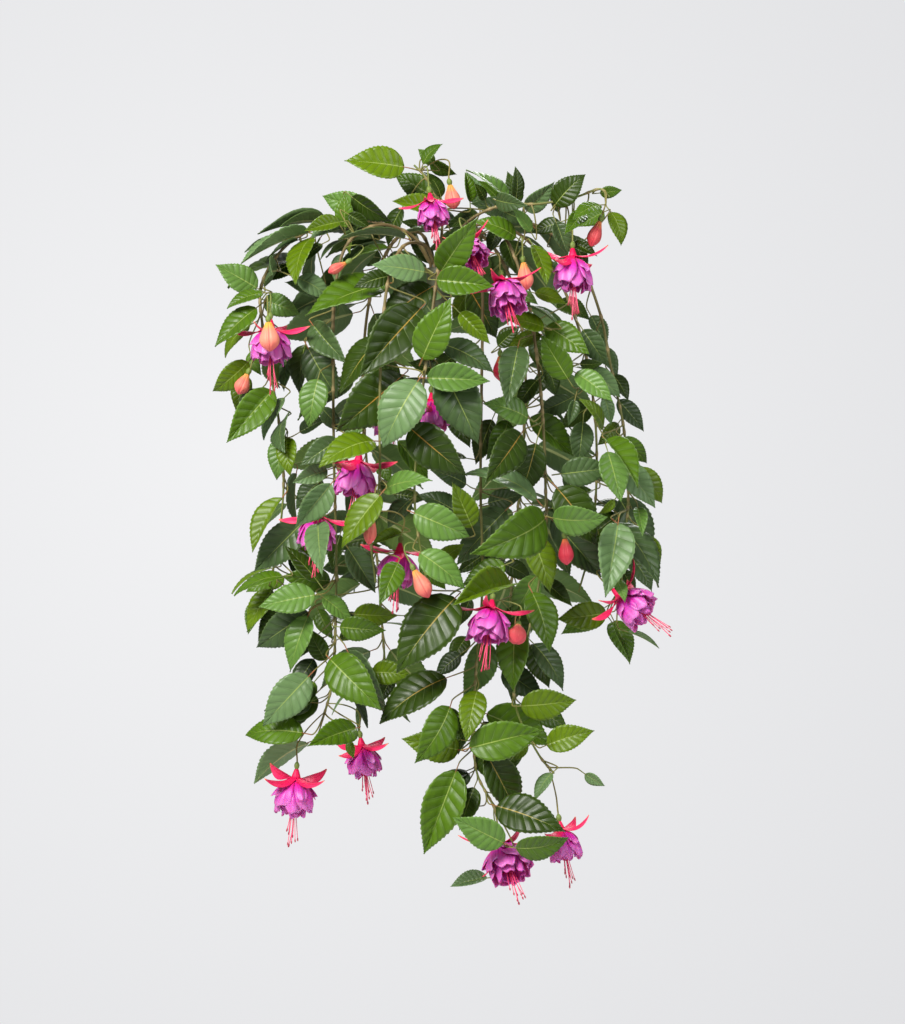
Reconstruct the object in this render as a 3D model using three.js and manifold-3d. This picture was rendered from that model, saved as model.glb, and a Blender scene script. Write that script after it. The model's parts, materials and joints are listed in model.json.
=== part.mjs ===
// Artificial trailing fuchsia bush: ten drooping and two upright stems moulded into one
// stub, with pointed leaves on thin twigs, double blooms and teardrop buds.
// Millimetres, +Z up. The origin is the middle of the stub's flat lower end; the bush is
// seen from the front along +Y, with +X to the right.
import * as THREE from 'three';
import { mergeVertices } from 'three/addons/utils/BufferGeometryUtils.js';
import Module from 'manifold-3d';

const wasm = await Module();
wasm.setup();

// driving dimensions
const STUB_END_RADIUS = 7;
const STUB_HEAD_RADIUS = 13.5;
const STUB_HEIGHT = 62;
const ROOT_RING_RADIUS = 9.7;
const ROOT_PITCH_DEG = 36;
const INNER_RING_RADIUS = 3.1;
const ROOT_FLOOR = 44;
const ROOT_GAP = 0.3;
const STEM_RADIUS = 1.75;
const CHAIN_STEP = 52;
const PEDICEL_RADIUS = 0.8;
const BLADE_THICKNESS = 0.8;
const PETIOLE_WIDTH = 1.8;
const STALK = 8;
const DEPTH = 0.82;
const EYE = [12.5, -3000, -182];
const LEAF_BUILD_LENGTH = 50;
const LARGE_LEAF = 62;

const GREENS = ['#2f5a2c', '#3d6f2f', '#274b2b', '#447a33', '#355f30', '#4a7d36'];
const CALYX_COLOR = '#e8335a';
const COROLLA_COLOR = '#a83bb5';
const BUD_COLOR = '#f08070';

// vectors and curves
const V = (x, y, z) => new THREE.Vector3(x, y, z);
const at = ([x, y, z]) => V(x, DEPTH * y, z);
const nearness = (y) => (y - EYE[1]) / -EYE[1];
const seenAt = (x, z, y) => V(EYE[0] + (x - EYE[0]) * nearness(y), y, EYE[2] + (z - EYE[2]) * nearness(y));
const turn = (degrees) => (degrees * Math.PI) / 180;
function* draws(seed) {
  let state = seed;
  while (true) {
    state = (1664525 * state + 1013904223) % 4294967296;
    yield state / 4294967296;
  }
}
function curveThrough(points) {
  return new THREE.CatmullRomCurve3(points, false, 'catmullrom', 0.5);
}

// the stems
// slot: place in the ring of roots, counted round from the front; null is the inner pair.
// route: points that the stem passes after it leaves the stub.
// leaves: [x, z, x of the tip, z of the tip, y] and for some the roll. The x and z are those
// of the leaf's base and tip as the eye in front sees them.
// every: step and blade length of the leaves that are placed by rule; flank: start, step, length.
const STEMS = [
  {
    name: 'stem_left_long', slot: 8,
    route: [[-26, -14, 92], [-60, -28, 103], [-92, -42, 82], [-104, -50, 30], [-105, -54, -50],
      [-104, -56, -140], [-102, -56, -220], [-103, -52, -300], [-106, -48, -350], [-116, -46, -388]],
    leaves: [
      [-95, 102, -95, 138, -25], [-100, 108, -135, 98, -31, -5], [-108, 104, -129, 91, -33, 10],
      [-92, 116, -69, 102, -28, 10], [-36, 92, -100, 87, -26, 50], [-52, 82, -95, 68, -23, 35],
      [-97, 90, -120, 68, -20], [-98, 76, -104, 46, -41, 10], [-55, 46, -133, 12, -44, 38],
      [-127, 5, -92, -35, -53], [-132, -18, -102, -68, -46], [-135, -15, -140, -67, -38, 20],
      [-122, -49, -131, -98, -62, -20], [-118, -78, -95, -102, -49, 10],
      [-102, -110, -140, -136, -79, -20], [-113, -140, -147, -153, -70, -15],
      [-109, -154, -145, -196, -112], [-122, -194, -115, -244, -98], [-137, -192, -187, -242, -66],
      [-122, -252, -157, -216, -72, 45], [-110, -251, -158, -246, -49, -25],
      [-117, -267, -88, -292, -59], [-125, -265, -181, -277, -71, -25],
      [-132, -282, -184, -318, -49, -25], [-132, -286, -150, -342, -59], [-115, -330, -132, -297, -62],
      [-100, -297, -54, -300, -69, 20], [-86, -284, -43, -286, -49, 30], [-110, -329, -58, -378, -75],
      [-92, -322, -50, -384, -49], [-68, -342, -28, -345, -54, 10], [-131, -346, -177, -396, -66, -25],
      [-126, -352, -154, -392, -48, 15], [-137, -403, -196, -407, -61],
      [-133, -413, -188, -456, -49, 60], [-84, -398, -129, -411, -59], [-91, -411, -86, -428, -66],
      [-94, -364, -108, -385, -54, 50],
    ],
  },
  {
    name: 'stem_left_outer', slot: 7,
    route: [[-30, 18, 96], [-72, 32, 112], [-116, 30, 108], [-155, 15, 85], [-178, -5, 45], [-176, -20, 0],
      [-168, -26, -45], [-160, -28, -90], [-155, -28, -150], [-160, -26, -210], [-168, -24, -250]],
    flank: [150, 66, 68],
    leaves: [
      [-72, 118, -118, 135, 12, -15], [-88, 133, -48, 108, -8, 45], [-142, 70, -215, 44, -4, 48],
      [-183, 42, -224, 65, -15], [-177, 37, -212, 21, -13, 20], [-176, 30, -139, 15, -21],
      [-142, 52, -109, 30, -30], [-130, 92, -142, 42, -11, 15], [-118, 86, -139, 64, -16, 10],
      [-132, 98, -197, 65, -3, 50], [-142, 90, -176, 69, -7, 35], [-184, 22, -224, -17, -25, -15],
      [-190, 5, -216, -27, -16, 10], [-192, -32, -228, -61, -33, -25],
      [-168, -61, -212, -113, -41, -38], [-156, -68, -176, -110, -28, 20],
      [-155, -107, -163, -150, -41, -20], [-153, -108, -149, -146, -36, 0],
      [-158, -168, -187, -222, -48, -10], [-168, -238, -208, -264, -30, 50],
      [-158, -246, -206, -266, -38, 45], [-168, -260, -193, -302, -36, -10],
    ],
  },
  {
    name: 'stem_front_left', slot: 9,
    route: [[-16, -30, 83], [-36, -74, 78], [-50, -106, 42], [-56, -124, -20], [-58, -128, -90],
      [-58, -126, -150], [-66, -122, -205], [-62, -118, -250]],
    leaves: [
      [-15, 58, -68, 64, -82], [-50, 54, -86, 42, -75, 20], [-20, 21, -80, -48, -102],
      [-38, -46, -104, -102, -115], [-8, 43, -62, 0, -89], [2, 34, -25, 29, -82, 50],
      [-62, -8, -100, -64, -82, 20], [-66, -111, -120, -138, -116], [-42, -111, -12, -150, -113],
      [-55, -159, -7, -151, -123], [-22, -51, -57, -117, -123], [-60, -165, -98, -218, -126, 10],
      [-92, -218, -65, -263, -82], [-42, -233, -60, -274, -116], [-38, -203, -68, -214, -98, 20],
      [-75, -95, -98, -105, -74, 30], [-30, -170, -52, -198, -57, 10],
    ],
  },
  {
    name: 'stem_front', slot: 0,
    route: [[5, -42, 84], [2, -92, 76], [-4, -126, 34], [-12, -142, -30], [-20, -144, -100],
      [-24, -140, -170], [-16, -134, -230], [-8, -128, -265]],
    leaves: [
      [1, 59, 37, 109, -104], [-3, 50, 54, 43, -116], [-18, -29, 11, 31, -125],
      [-13, -48, 50, -51, -130], [3, -14, 54, -43, -113], [20, 17, 50, -14, -103],
      [3, -42, 38, -114, -115], [-30, -98, 27, -146, -123], [-26, -183, 30, -207, -120],
      [32, -197, 12, -152, -105, -10], [20, -185, -22, -165, -82, 10], [15, -268, -43, -342, -112],
      [-20, -223, 25, -259, -107], [-2, -232, 24, -214, -90, 10],
    ],
  },
  {
    name: 'stem_long_centre', slot: 1,
    route: [[22, -24, 98], [38, -52, 88], [42, -72, 30], [41, -80, -60], [40, -84, -160], [42, -84, -250],
      [36, -84, -330], [33, -84, -390], [36, -84, -435], [50, -86, -464], [57, -88, -478]],
    leaves: [
      [30, 40, 57, -7, -79], [52, -90, 36, -134, -62, 15], [66, -180, 16, -236, -62, 10],
      [65, -235, 22, -256, -82], [71, -255, 13, -272, -97], [47, -311, 23, -368, -70],
      [6, -348, -60, -394, -85], [10, -377, -25, -432, -90], [19, -420, -38, -408, -70],
      [37, -361, 26, -410, -82], [47, -384, 114, -417, -70], [30, -418, 104, -401, -97],
      [86, -412, 74, -432, -74], [47, -425, 78, -488, -88], [16, -441, -16, -524, -87],
      [57, -476, 124, -499, -90, 10], [47, -548, 10, -557, -70, 58], [64, -513, 13, -486, -112, -20],
      [76, -518, 128, -508, -102, 15], [66, -487, 84, -497, -69, 20],
    ],
  },
  {
    name: 'stem_long_right', slot: 2,
    route: [[32, -12, 102], [62, -26, 94], [84, -40, 40], [96, -50, -30], [102, -58, -100], [104, -64, -160],
      [104, -70, -200], [92, -74, -280], [74, -76, -345], [76, -78, -378], [96, -78, -418], [112, -78, -438]],
    leaves: [
      [93, 85, 106, 43, -57], [95, 37, 126, 26, -49, -20], [80, 37, 98, 25, -54],
      [104, 3, 62, 12, -61, 20], [101, -6, 68, -18, -57, 20], [115, 8, 78, 26, -41, 45],
      [78, -17, 66, -78, -69], [108, -39, 116, -65, -46, 10], [97, -50, 78, -78, -51, 20],
      [88, -88, 43, -74, -75, -25], [81, -104, 44, -154, -80], [68, -91, 46, -130, -74, 10],
      [96, -114, 81, -167, -69], [97, -170, 25, -144, -90, 35], [105, -189, 30, -223, -85, -20],
      [117, -158, 156, -215, -75], [113, -188, 167, -187, -92, 42], [112, -190, 163, -248, -68],
      [90, -88, 134, -126, -60], [92, -206, 110, -262, -54, 15], [96, -246, 71, -288, -79],
      [92, -262, 109, -322, -72], [105, -252, 132, -276, -41, 10], [75, -295, 73, -362, -82],
      [94, -314, 123, -361, -61, 15], [63, -340, 104, -368, -49], [81, -376, 136, -370, -77, 25],
      [107, -415, 154, -400, -75], [112, -443, 95, -470, -66, 50], [145, -444, 165, -456, -66, 55],
    ],
  },
  {
    name: 'stem_right', slot: 3,
    route: [[40, 8, 102], [80, 8, 96], [118, 4, 52], [142, -4, -10], [154, -10, -80], [156, -14, -150],
      [150, -16, -215], [138, -18, -262]],
    leaves: [
      [107, 4, 149, -25, -49], [143, 0, 168, -36, -33, 30], [140, -34, 163, -33, -36, 50],
      [128, -49, 101, -5, -46], [150, -39, 181, -67, -30], [136, -43, 172, -72, -38, 25],
      [163, -98, 138, -70, -41], [131, -68, 98, -82, -43, -30], [135, -70, 128, -96, -49],
      [143, -92, 138, -134, -33], [121, -144, 172, -138, -46], [174, -170, 158, -184, -41],
      [175, -192, 162, -208, -36], [130, -142, 126, -160, -16, 20],
    ],
  },
  {
    name: 'stem_right_outer', slot: 4,
    route: [[46, 20, 106], [94, 28, 108], [136, 26, 76], [160, 16, 20], [172, 8, -40], [184, 0, -100],
      [188, -6, -165], [184, -10, -215], [180, -12, -262]],
    flank: [282, 66, 68],
    leaves: [
      [165, -68, 171, -95, -25, 30], [174, -80, 201, -104, -21, 35], [166, -110, 194, -158, -33],
      [178, -134, 215, -178, -36], [194, -140, 223, -173, -20, 15], [168, -122, 180, -172, -41, 42],
      [183, -108, 208, -133, -20], [180, -169, 212, -232, -22, 10], [177, -193, 217, -257, -44],
      [198, -178, 201, -206, -16, 20], [206, -207, 220, -236, -25, 15],
      [178, -194, 164, -266, -49, 15], [182, -240, 196, -262, -30, 15], [176, -250, 184, -272, -39],
      [166, -283, 117, -289, -25, -25], [174, -291, 190, -334, -14], [188, -302, 219, -318, -23, -50],
    ],
  },
  {
    name: 'stem_back_right', slot: 5,
    route: [[22, 40, 100], [52, 84, 92], [78, 112, 40], [88, 120, -40], [84, 118, -130],
      [76, 108, -220], [70, 96, -300]],
    every: [70, 88],
  },
  {
    name: 'stem_back_left', slot: 6,
    route: [[-20, 42, 100], [-48, 84, 94], [-72, 110, 40], [-80, 118, -40], [-76, 116, -130],
      [-66, 108, -220], [-58, 94, -320], [-52, 84, -390]],
    every: [70, 88],
  },
  {
    name: 'stem_top_left', slot: null, side: 150,
    route: [[2, 4, 104], [-4, -2, 134], [-16, -8, 154], [-26, -10, 164]],
    leaves: [
      [-36, 163, -95, 168, -12, -10], [-2, 130, -46, 157, -8, 20], [1, 133, -16, 159, 16],
      [-17, 166, 3, 186, -10], [-6, 166, -22, 181, -6], [-10, 167, 17, 156, -4, 45],
      [-3, 119, -48, 128, -22, 35], [1, 102, -52, 123, -16, 20], [2, 100, -50, 92, -24, 30],
      [38, 116, 4, 102, -10, 30], [30, 128, 25, 158, -12], [-38, 122, -52, 85, -8, 20],
    ],
  },
  {
    name: 'stem_top_right', slot: null, side: 330,
    route: [[24, -8, 104], [58, -20, 122], [100, -28, 124], [134, -32, 130], [158, -34, 138],
      [168, -36, 130]],
    leaves: [
      [68, 132, 26, 161, -30, 5], [76, 132, 75, 163, -24, -14], [87, 119, 114, 146, -30, 10],
      [115, 125, 145, 155, -25, 20], [160, 137, 182, 140, -30, 30], [171, 118, 181, 84, -28],
      [160, 125, 132, 108, -25, 35], [143, 117, 123, 92, -34, 10], [116, 108, 128, 74, -37],
      [120, 108, 92, 98, -22, 30], [118, 118, 108, 142, -15, 20], [134, 87, 157, 73, -32],
      [136, 84, 148, 61, -26, 20], [76, 93, 34, 108, -48, 10], [91, 98, 71, 123, -40, 20],
      [56, 130, 87, 121, -34, 45], [65, 118, 93, 108, -32, 50], [45, 130, 34, 146, -8, 10],
    ],
  },
];

// the blooms and buds
// [stem, base, heading, pitch to the front, size, turn of the sepals, how far they curl back]
const BLOOMS = [
  ['stem_left_outer', [-167, -52, 8], 178, 12, 1.0, 20, 0.9],
  ['stem_top_left', [-10, -47, 133], 172, 14, 0.78, 10, 0.6],
  ['stem_long_centre', [25, -97, 85], 160, 40, 0.8, 40, 0.6],
  ['stem_long_centre', [60, -98, 48], 168, 35, 0.95, 15, 0.7],
  ['stem_top_right', [131, -52, 78], 180, 10, 0.95, 30, 0.9],
  ['stem_left_long', [-78, -98, -124], 186, 12, 1.0, 25, 0.8],
  ['stem_left_long', [-118, -88, -178], 184, 10, 0.9, 0, 0.5],
  ['stem_front_left', [-38, -112, -212], 186, 6, 0.9, 0, 0.5],
  ['stem_long_centre', [51, -112, -267], 188, 25, 1.0, 10, 0.8],
  ['stem_right_outer', [170, -58, -258], 128, 20, 1.0, 25, 1.2],
  ['stem_left_long', [-141, -56, -435], 184, 5, 1.0, 45, 1.1],
  ['stem_left_long', [-78, -60, -404], 172, 5, 0.85, 40, 0.9],
  ['stem_long_centre', [58, -94, -500], 160, 45, 1.1, 52, 0.9],
  ['stem_long_right', [117, -84, -484], 170, 8, 0.85, 30, 1.3],
  ['stem_front', [-8, -104, -66], 178, 10, 0.8, 10, 0.6],
  ['stem_back_left', [-52, 146, -60], 180, -10, 0.95, 20, 0.9],
];
// [stem, base, heading, pitch, length, width]
const BUDS = [
  ['stem_top_left', [10, -10, 144], 170, 6, 25, 17],
  ['stem_top_right', [158, -44, 105], 200, 8, 27, 15],
  ['stem_long_right', [82, -78, 62], 174, 10, 28, 17],
  ['stem_left_long', [-92, -74, 62], 240, 10, 20, 11],
  ['stem_left_outer', [-190, -46, -46], 204, 6, 22, 16],
  ['stem_front_left', [-64, -154, -186], 188, 6, 28, 13],
  ['stem_front', [-24, -152, -238], 152, 10, 30, 18],
  ['stem_long_centre', [76, -118, -292], 188, 50, 24, 19],
  ['stem_long_right', [122, -92, -208], 176, 6, 26, 16],
  ['stem_back_right', [62, 146, -20], 180, -8, 26, 16],
  ['stem_back_left', [-100, 140, -120], 186, -8, 24, 15],
  ['stem_left_outer', [-167, -92, 3], 176, 6, 29, 21],
];

// leaf moulds
// bend: turn from base to tip, fold: rise of the halves, twist: turn round the midrib
const MOULDS = [
  { bend: 0.35, fold: 0.12, twist: 0.0, wide: 0.54 },
  { bend: 0.8, fold: 0.1, twist: 0.15, wide: 0.52 },
  { bend: 1.1, fold: 0.06, twist: -0.12, wide: 0.55 },
  { bend: 0.35, fold: 0.5, twist: 0.1, wide: 0.52 },
  { bend: 0.55, fold: 0.2, twist: -0.45, wide: 0.52 },
];
const LEAF_SIDE = [[0.08, 0.58], [0.35, 1.0], [0.46, 0.84], [0.7, 0.66]];
const SMALL_LEAF_SIDE = [[0.2, 0.92], [0.44, 0.82], [0.58, 0.88]];
const LEAF_RIB = [0.3, 0.66];

function leafFrame(heading, pitch, roll, face, mould, start, length) {
  const h = turn(heading);
  const p = turn(pitch);
  const along = V(Math.sin(h) * Math.cos(p), -Math.sin(p), Math.cos(h) * Math.cos(p));
  const flat = face.clone().addScaledVector(along, -face.dot(along)).normalize();
  const across = along.clone().cross(flat);
  const r = turn(roll);
  const normal = flat.clone().multiplyScalar(Math.cos(r)).addScaledVector(across, Math.sin(r));
  const half = MOULDS[mould].bend / 2;
  const first = along.clone().multiplyScalar(Math.cos(half)).addScaledVector(normal, Math.sin(half));
  const lift = normal.clone().multiplyScalar(Math.cos(half)).addScaledVector(along, -Math.sin(half));
  const arc = (length * half) / Math.sin(half);
  return { first, lift, side: first.clone().cross(lift), base: start, arc, chord: length, mould };
}

function leafPoint(leaf, u, v) {
  const { bend, fold, twist, wide } = MOULDS[leaf.mould];
  const a = bend * u;
  const radius = leaf.arc / bend;
  const point = leaf.base.clone()
    .addScaledVector(leaf.first, radius * Math.sin(a))
    .addScaledVector(leaf.lift, -radius * (1 - Math.cos(a)));
  const normal = leaf.lift.clone().multiplyScalar(Math.cos(a)).addScaledVector(leaf.first, Math.sin(a));
  const t = twist * u;
  const side = leaf.side.clone().multiplyScalar(Math.cos(t)).addScaledVector(normal, Math.sin(t));
  const up = normal.clone().multiplyScalar(Math.cos(t)).addScaledVector(leaf.side, -Math.sin(t));
  const width = 0.5 * wide * leaf.chord * v;
  point.addScaledVector(side, width * Math.cos(fold)).addScaledVector(up, Math.abs(width) * Math.sin(fold));
  return { point, normal: up };
}

function leafSamples(leaf) {
  const points = [];
  const rows = Math.max(4, Math.round(leaf.chord / 7));
  for (let i = 0; i <= rows; i++) {
    const u = i / rows;
    const w = u < 0.35 ? 0.5 + (0.5 * u) / 0.35 : 1 - Math.pow((u - 0.35) / 0.65, 1.6);
    for (const v of [-1, -0.5, 0, 0.5, 1]) points.push(leafPoint(leaf, u, v * w).point);
  }
  return points;
}

// [radius, reach along the axis] of a bloom's tube and of the core that carries the stamens
const TUBE_RINGS = [[2, 0.3], [3.8, 6.4], [3.4, 9.2], [2.4, 14.6]];
const PETAL_RING = 6;
const PETAL_SIDE = [[0.5, 1], [1, 0.6]];
const INNER_PETAL_SIDE = [[1, 0.8]];

// clear places
const CELL = 8;
const cells = new Map();
function claim(points, node, owner) {
  for (const p of points) {
    const key = `${Math.floor(p.x / CELL)},${Math.floor(p.y / CELL)},${Math.floor(p.z / CELL)}`;
    if (!cells.has(key)) cells.set(key, []);
    cells.get(key).push({ p, node, owner });
  }
}
function clearance(points, node, owner, enough = 7) {
  let least = 1.2;
  for (const p of points) {
    const [cx, cy, cz] = [Math.floor(p.x / CELL), Math.floor(p.y / CELL), Math.floor(p.z / CELL)];
    for (let i = cx - 1; i <= cx + 1; i++) {
      for (let j = cy - 1; j <= cy + 1; j++) {
        for (let k = cz - 1; k <= cz + 1; k++) {
          const cell = cells.get(`${i},${j},${k}`);
          if (!cell) continue;
          for (const other of cell) {
            if (other.owner === owner) continue;
            const need = other.node === node ? 6 : enough;
            const ratio = p.distanceTo(other.p) / need;
            if (ratio < least) least = ratio;
          }
        }
      }
    }
  }
  return least;
}
function spaced(points, step) {
  const out = [];
  for (let i = 0; i + 1 < points.length; i++) {
    const n = Math.max(1, Math.round(points[i].distanceTo(points[i + 1]) / step));
    for (let k = 0; k < n; k++) out.push(points[i].clone().lerp(points[i + 1], k / n));
  }
  out.push(points[points.length - 1].clone());
  return out;
}

// roots and curves of the stems
const pick = draws(41);
for (const stem of STEMS) {
  const round = stem.slot === null ? turn(stem.side) : turn(270 + ROOT_PITCH_DEG * stem.slot);
  const ring = stem.slot === null ? INNER_RING_RADIUS : ROOT_RING_RADIUS;
  const [x, y] = [ring * Math.cos(round), ring * Math.sin(round)];
  stem.curve = curveThrough([V(x, y, STUB_HEIGHT + 4), ...stem.route.map(at)]);
  const chain = stem.curve.getSpacedPoints(Math.round(stem.curve.getLength() / CHAIN_STEP));
  stem.chain = [V(x, y, ROOT_FLOOR + ROOT_GAP), ...chain];
  stem.points = [];
  chain.slice(1).forEach((p, i) => {
    for (let k = 0; k < 6; k++) stem.points.push(chain[i].clone().lerp(p, k / 6));
  });
  stem.points.push(chain[chain.length - 1]);
  stem.twigs = [];
  stem.pedicels = [];
  const clearOfHub = (p) => p.z < 110 && (p.z < 40 || Math.hypot(p.x, p.y) > 20);
  claim(spaced(stem.points, 5).filter(clearOfHub), stem.name, stem.name);
}
function nearest(stem, goal) {
  const free = stem.points.slice(2, -1);
  return free.reduce((best, p) => (p.distanceTo(goal) < best.distanceTo(goal) ? p : best));
}

// the stub keeps its own room, and the way to its end
for (let z = -40; z <= STUB_HEIGHT; z += 6) {
  for (let k = 0; k < 12; k++) {
    const a = (k * Math.PI) / 6;
    const spot = V(STUB_HEAD_RADIUS * Math.cos(a), STUB_HEAD_RADIUS * Math.sin(a), z);
    claim([spot], 'stub', 'stub');
  }
}

// blooms and buds: axis, pedicel and the room they take, as [reach along the axis, radius]
const BLOOM_ROOM = [[2, 3], [8, 4], [13, 8], [18, 16], [25, 20], [32, 20.5], [39, 19], [46, 14],
  [53, 4], [60, 5], [68, 5]];
const BUD_ROOM = [[0.1, 0.3], [0.35, 0.45], [0.6, 0.5], [0.85, 0.35], [1, 0.1]];
const TO_FRONT = V(0, -1, 0);
function flowerFrame(heading, pitch, spin) {
  const h = turn(heading);
  const p = turn(pitch);
  const axis = V(Math.sin(h) * Math.cos(p), -Math.sin(p), Math.cos(h) * Math.cos(p));
  const seen = Math.abs(axis.y) > 0.9 ? V(0, 0, 1) : TO_FRONT;
  const one = seen.clone().addScaledVector(axis, -seen.dot(axis)).normalize();
  const two = axis.clone().cross(one);
  const s = turn(spin);
  return {
    axis,
    one: one.clone().multiplyScalar(Math.cos(s)).addScaledVector(two, Math.sin(s)),
    two: two.clone().multiplyScalar(Math.cos(s)).addScaledVector(one, -Math.sin(s)),
  };
}
// a point beside an axis: how far out, how far along and how far round
function beside(frame, base, radius, reach, angle) {
  return base.clone().addScaledVector(frame.axis, reach)
    .addScaledVector(frame.one, radius * Math.cos(angle))
    .addScaledVector(frame.two, radius * Math.sin(angle));
}
function hang(stem, base, axis) {
  const ovary = base.clone().addScaledVector(axis, -7);
  const high = ovary.clone().addScaledVector(axis, -14).add(V(0, 0, 8));
  const root = nearest(stem, high);
  stem.pedicels.push({ root, high, ovary, base, axis });
  claim(spaced([root, high, ovary, base], 5).slice(1), stem.name, stem.name);
}
const flowers = [];
BLOOMS.forEach(([stemName, place, heading, pitch, size, spin, curl], i) => {
  const stem = STEMS.find((s) => s.name === stemName);
  const base = at(place);
  const frame = flowerFrame(heading, pitch, spin);
  const name = `bloom_${String(i + 1).padStart(2, '0')}`;
  hang(stem, base, frame.axis);
  const room = [];
  for (const [reach, radius] of BLOOM_ROOM) {
    const count = radius > 10 ? 16 : 5;
    for (let k = 0; k < count; k++) {
      room.push(beside(frame, base, radius * size, reach * size, (k * 2 * Math.PI) / count));
    }
  }
  flowers.push({ name, stem, base, frame, size, curl });
  for (let k = 0; k < 4; k++) {
    for (const u of [0.25, 0.4, 0.55, 0.7, 0.85, 1]) {
      for (const v of [-0.8, 0, 0.8]) room.push(sepalPoint(flowers[i], k, u, v).point);
    }
  }
  claim(room, name, name);
});
const budList = BUDS.map(([stemName, place, heading, pitch, length, width], i) => {
  const stem = STEMS.find((s) => s.name === stemName);
  const base = at(place);
  const frame = flowerFrame(heading, pitch, 0);
  const name = `bud_${String(i + 1).padStart(2, '0')}`;
  hang(stem, base, frame.axis);
  const room = [];
  for (let k = 0; k < 6; k++) {
    for (const [reach, radius] of BUD_ROOM) {
      room.push(beside(frame, base, radius * width, reach * length, (k * Math.PI) / 3));
    }
  }
  claim(room, name, name);
  return { name, stem, base, frame, length, width };
});

// a sepal: springs from the tube's end and curls back towards the stem
function sepalPoint(flower, k, u, v) {
  const { base, frame, size, curl } = flower;
  const a = (k * Math.PI) / 2;
  const out = frame.one.clone().multiplyScalar(Math.cos(a)).addScaledVector(frame.two, Math.sin(a));
  const side = frame.axis.clone().cross(out);
  const length = 41 * size;
  const begin = 1.38 + 0.18 * Math.sin(3 * k + base.x);
  const t = begin + curl * u;
  const along = (Math.sin(t) - Math.sin(begin)) / curl;
  const outward = (Math.cos(begin) - Math.cos(t)) / curl;
  const point = base.clone()
    .addScaledVector(frame.axis, 8.5 * size + length * along)
    .addScaledVector(out, 2.3 * size + length * outward)
    .addScaledVector(side, 5.8 * size * v);
  const normal = frame.axis.clone().multiplyScalar(-Math.sin(t)).addScaledVector(out, Math.cos(t));
  point.addScaledVector(normal, -1.2 * size * v * v);
  return { point, normal };
}

// a petal: leaves the ring outwards and hangs in a cup, even ones outside the odd ones
function petalPoint(flower, j, u, v) {
  const { base, frame, size } = flower;
  const belly = j % 2 ? 12 : 20;
  const reach = j % 2 ? 35 : 32;
  const a = (j * Math.PI) / 4;
  const profile = (x) => [
    PETAL_RING + (belly - PETAL_RING) * Math.pow(Math.sin(0.64 * Math.PI * x), 0.8),
    12.3 + reach * Math.pow(x, 1.2) - 2.5 * x * v * v];
  const [r, y] = profile(u);
  const [r2, y2] = profile(u + 0.01);
  const run = Math.hypot(r2 - r, y2 - y);
  const spread = a + v * (j % 2 ? 0.6 : 0.7);
  const out = frame.one.clone().multiplyScalar(Math.cos(spread)).addScaledVector(frame.two, Math.sin(spread));
  return {
    point: base.clone().addScaledVector(frame.axis, y * size).addScaledVector(out, r * size),
    normal: out.clone().multiplyScalar((y2 - y) / run).addScaledVector(frame.axis, (r - r2) / run),
  };
}
function stamenTip(flower, k) {
  const { base, frame, size } = flower;
  const a = 0.4 + (k * Math.PI) / 2 + 0.3 * Math.sin(7 * k + base.x);
  return beside(frame, base, 4.4 * size, (58 + 4 * k) * size, a);
}

// leaves: the first clear place out of a few tries, each on its own twig
const SHIFTS = [0, -9, 9, -18, 18, -27, 27];
const TRIES = [[0, 0], [15, 0], [-15, 0], [0, 25], [0, -25], [30, 0], [-30, 0], [20, 25], [20, -25],
  [-20, 25], [-20, -25], [42, 0]];
let leafCount = 0;
const chances = () => [pick.next().value, pick.next().value, pick.next().value];
// way is the direction in which the leaf may be shifted; a length as seen is foreshortened
function placeLeaf(stem, base, heading, length, face, options = {}) {
  const { roll, lean = 0, way = face, asSeen, luck = chances() } = options;
  leafCount += 1;
  const own = `leaf_${leafCount}`;
  const [kind, nod, rock] = luck;
  let best = null;
  for (const shift of SHIFTS) {
    const start = base.clone().addScaledVector(way, shift);
    for (const [dp, dr] of TRIES) {
      const pitch = lean - 4 + 22 * nod + dp;
      const reach = asSeen ? length / Math.cos(turn(pitch)) : length;
      const tilt = (roll ?? -22 + 44 * rock) + dr;
      const leaf = leafFrame(heading, pitch, tilt, face, Math.floor(kind * MOULDS.length), start, reach);
      const end = start.clone().addScaledVector(leaf.first, -STALK);
      const root = nearest(stem, end.clone().add(V(0, 0, 14)));
      const twig = spaced([root, end], 5);
      const samples = leafSamples(leaf);
      const freeTwig = clearance(twig.slice(2), stem.name, stem.name, 5);
      const clear = Math.min(clearance(samples, stem.name, own), freeTwig);
      if (!best || clear > best.clear + 1e-9) best = { leaf, samples, clear, root, end, twig };
      if (clear >= 1) break;
    }
    if (best.clear >= 1) break;
  }
  if (best.clear <= 0.7) return;
  claim(best.samples, stem.name, own);
  claim(best.twig.slice(1), stem.name, stem.name);
  stem.twigs.push(best);
}
// the listed leaves, those nearest to the eye first
const listed = STEMS.flatMap((stem) => (stem.leaves ?? []).map((row) => (
  { stem, row, luck: chances(), turned: pick.next().value - 0.5 })));
listed.sort((a, b) => a.row[4] - b.row[4]);
for (const { stem, row: [x, z, tipX, tipZ, y, roll], luck, turned } of listed) {
  const base = seenAt(x, z, y);
  const way = V(...EYE).sub(base).normalize();
  const heading = (Math.atan2(tipX - x, tipZ - z) * 180) / Math.PI;
  const length = Math.hypot(tipX - x, tipZ - z) * nearness(y);
  const face = V(base.x / 300 + 0.5 * turned, -1, 0.35).normalize();
  placeLeaf(stem, base, heading, length, face, { roll, way, asSeen: true, luck });
}
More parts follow.
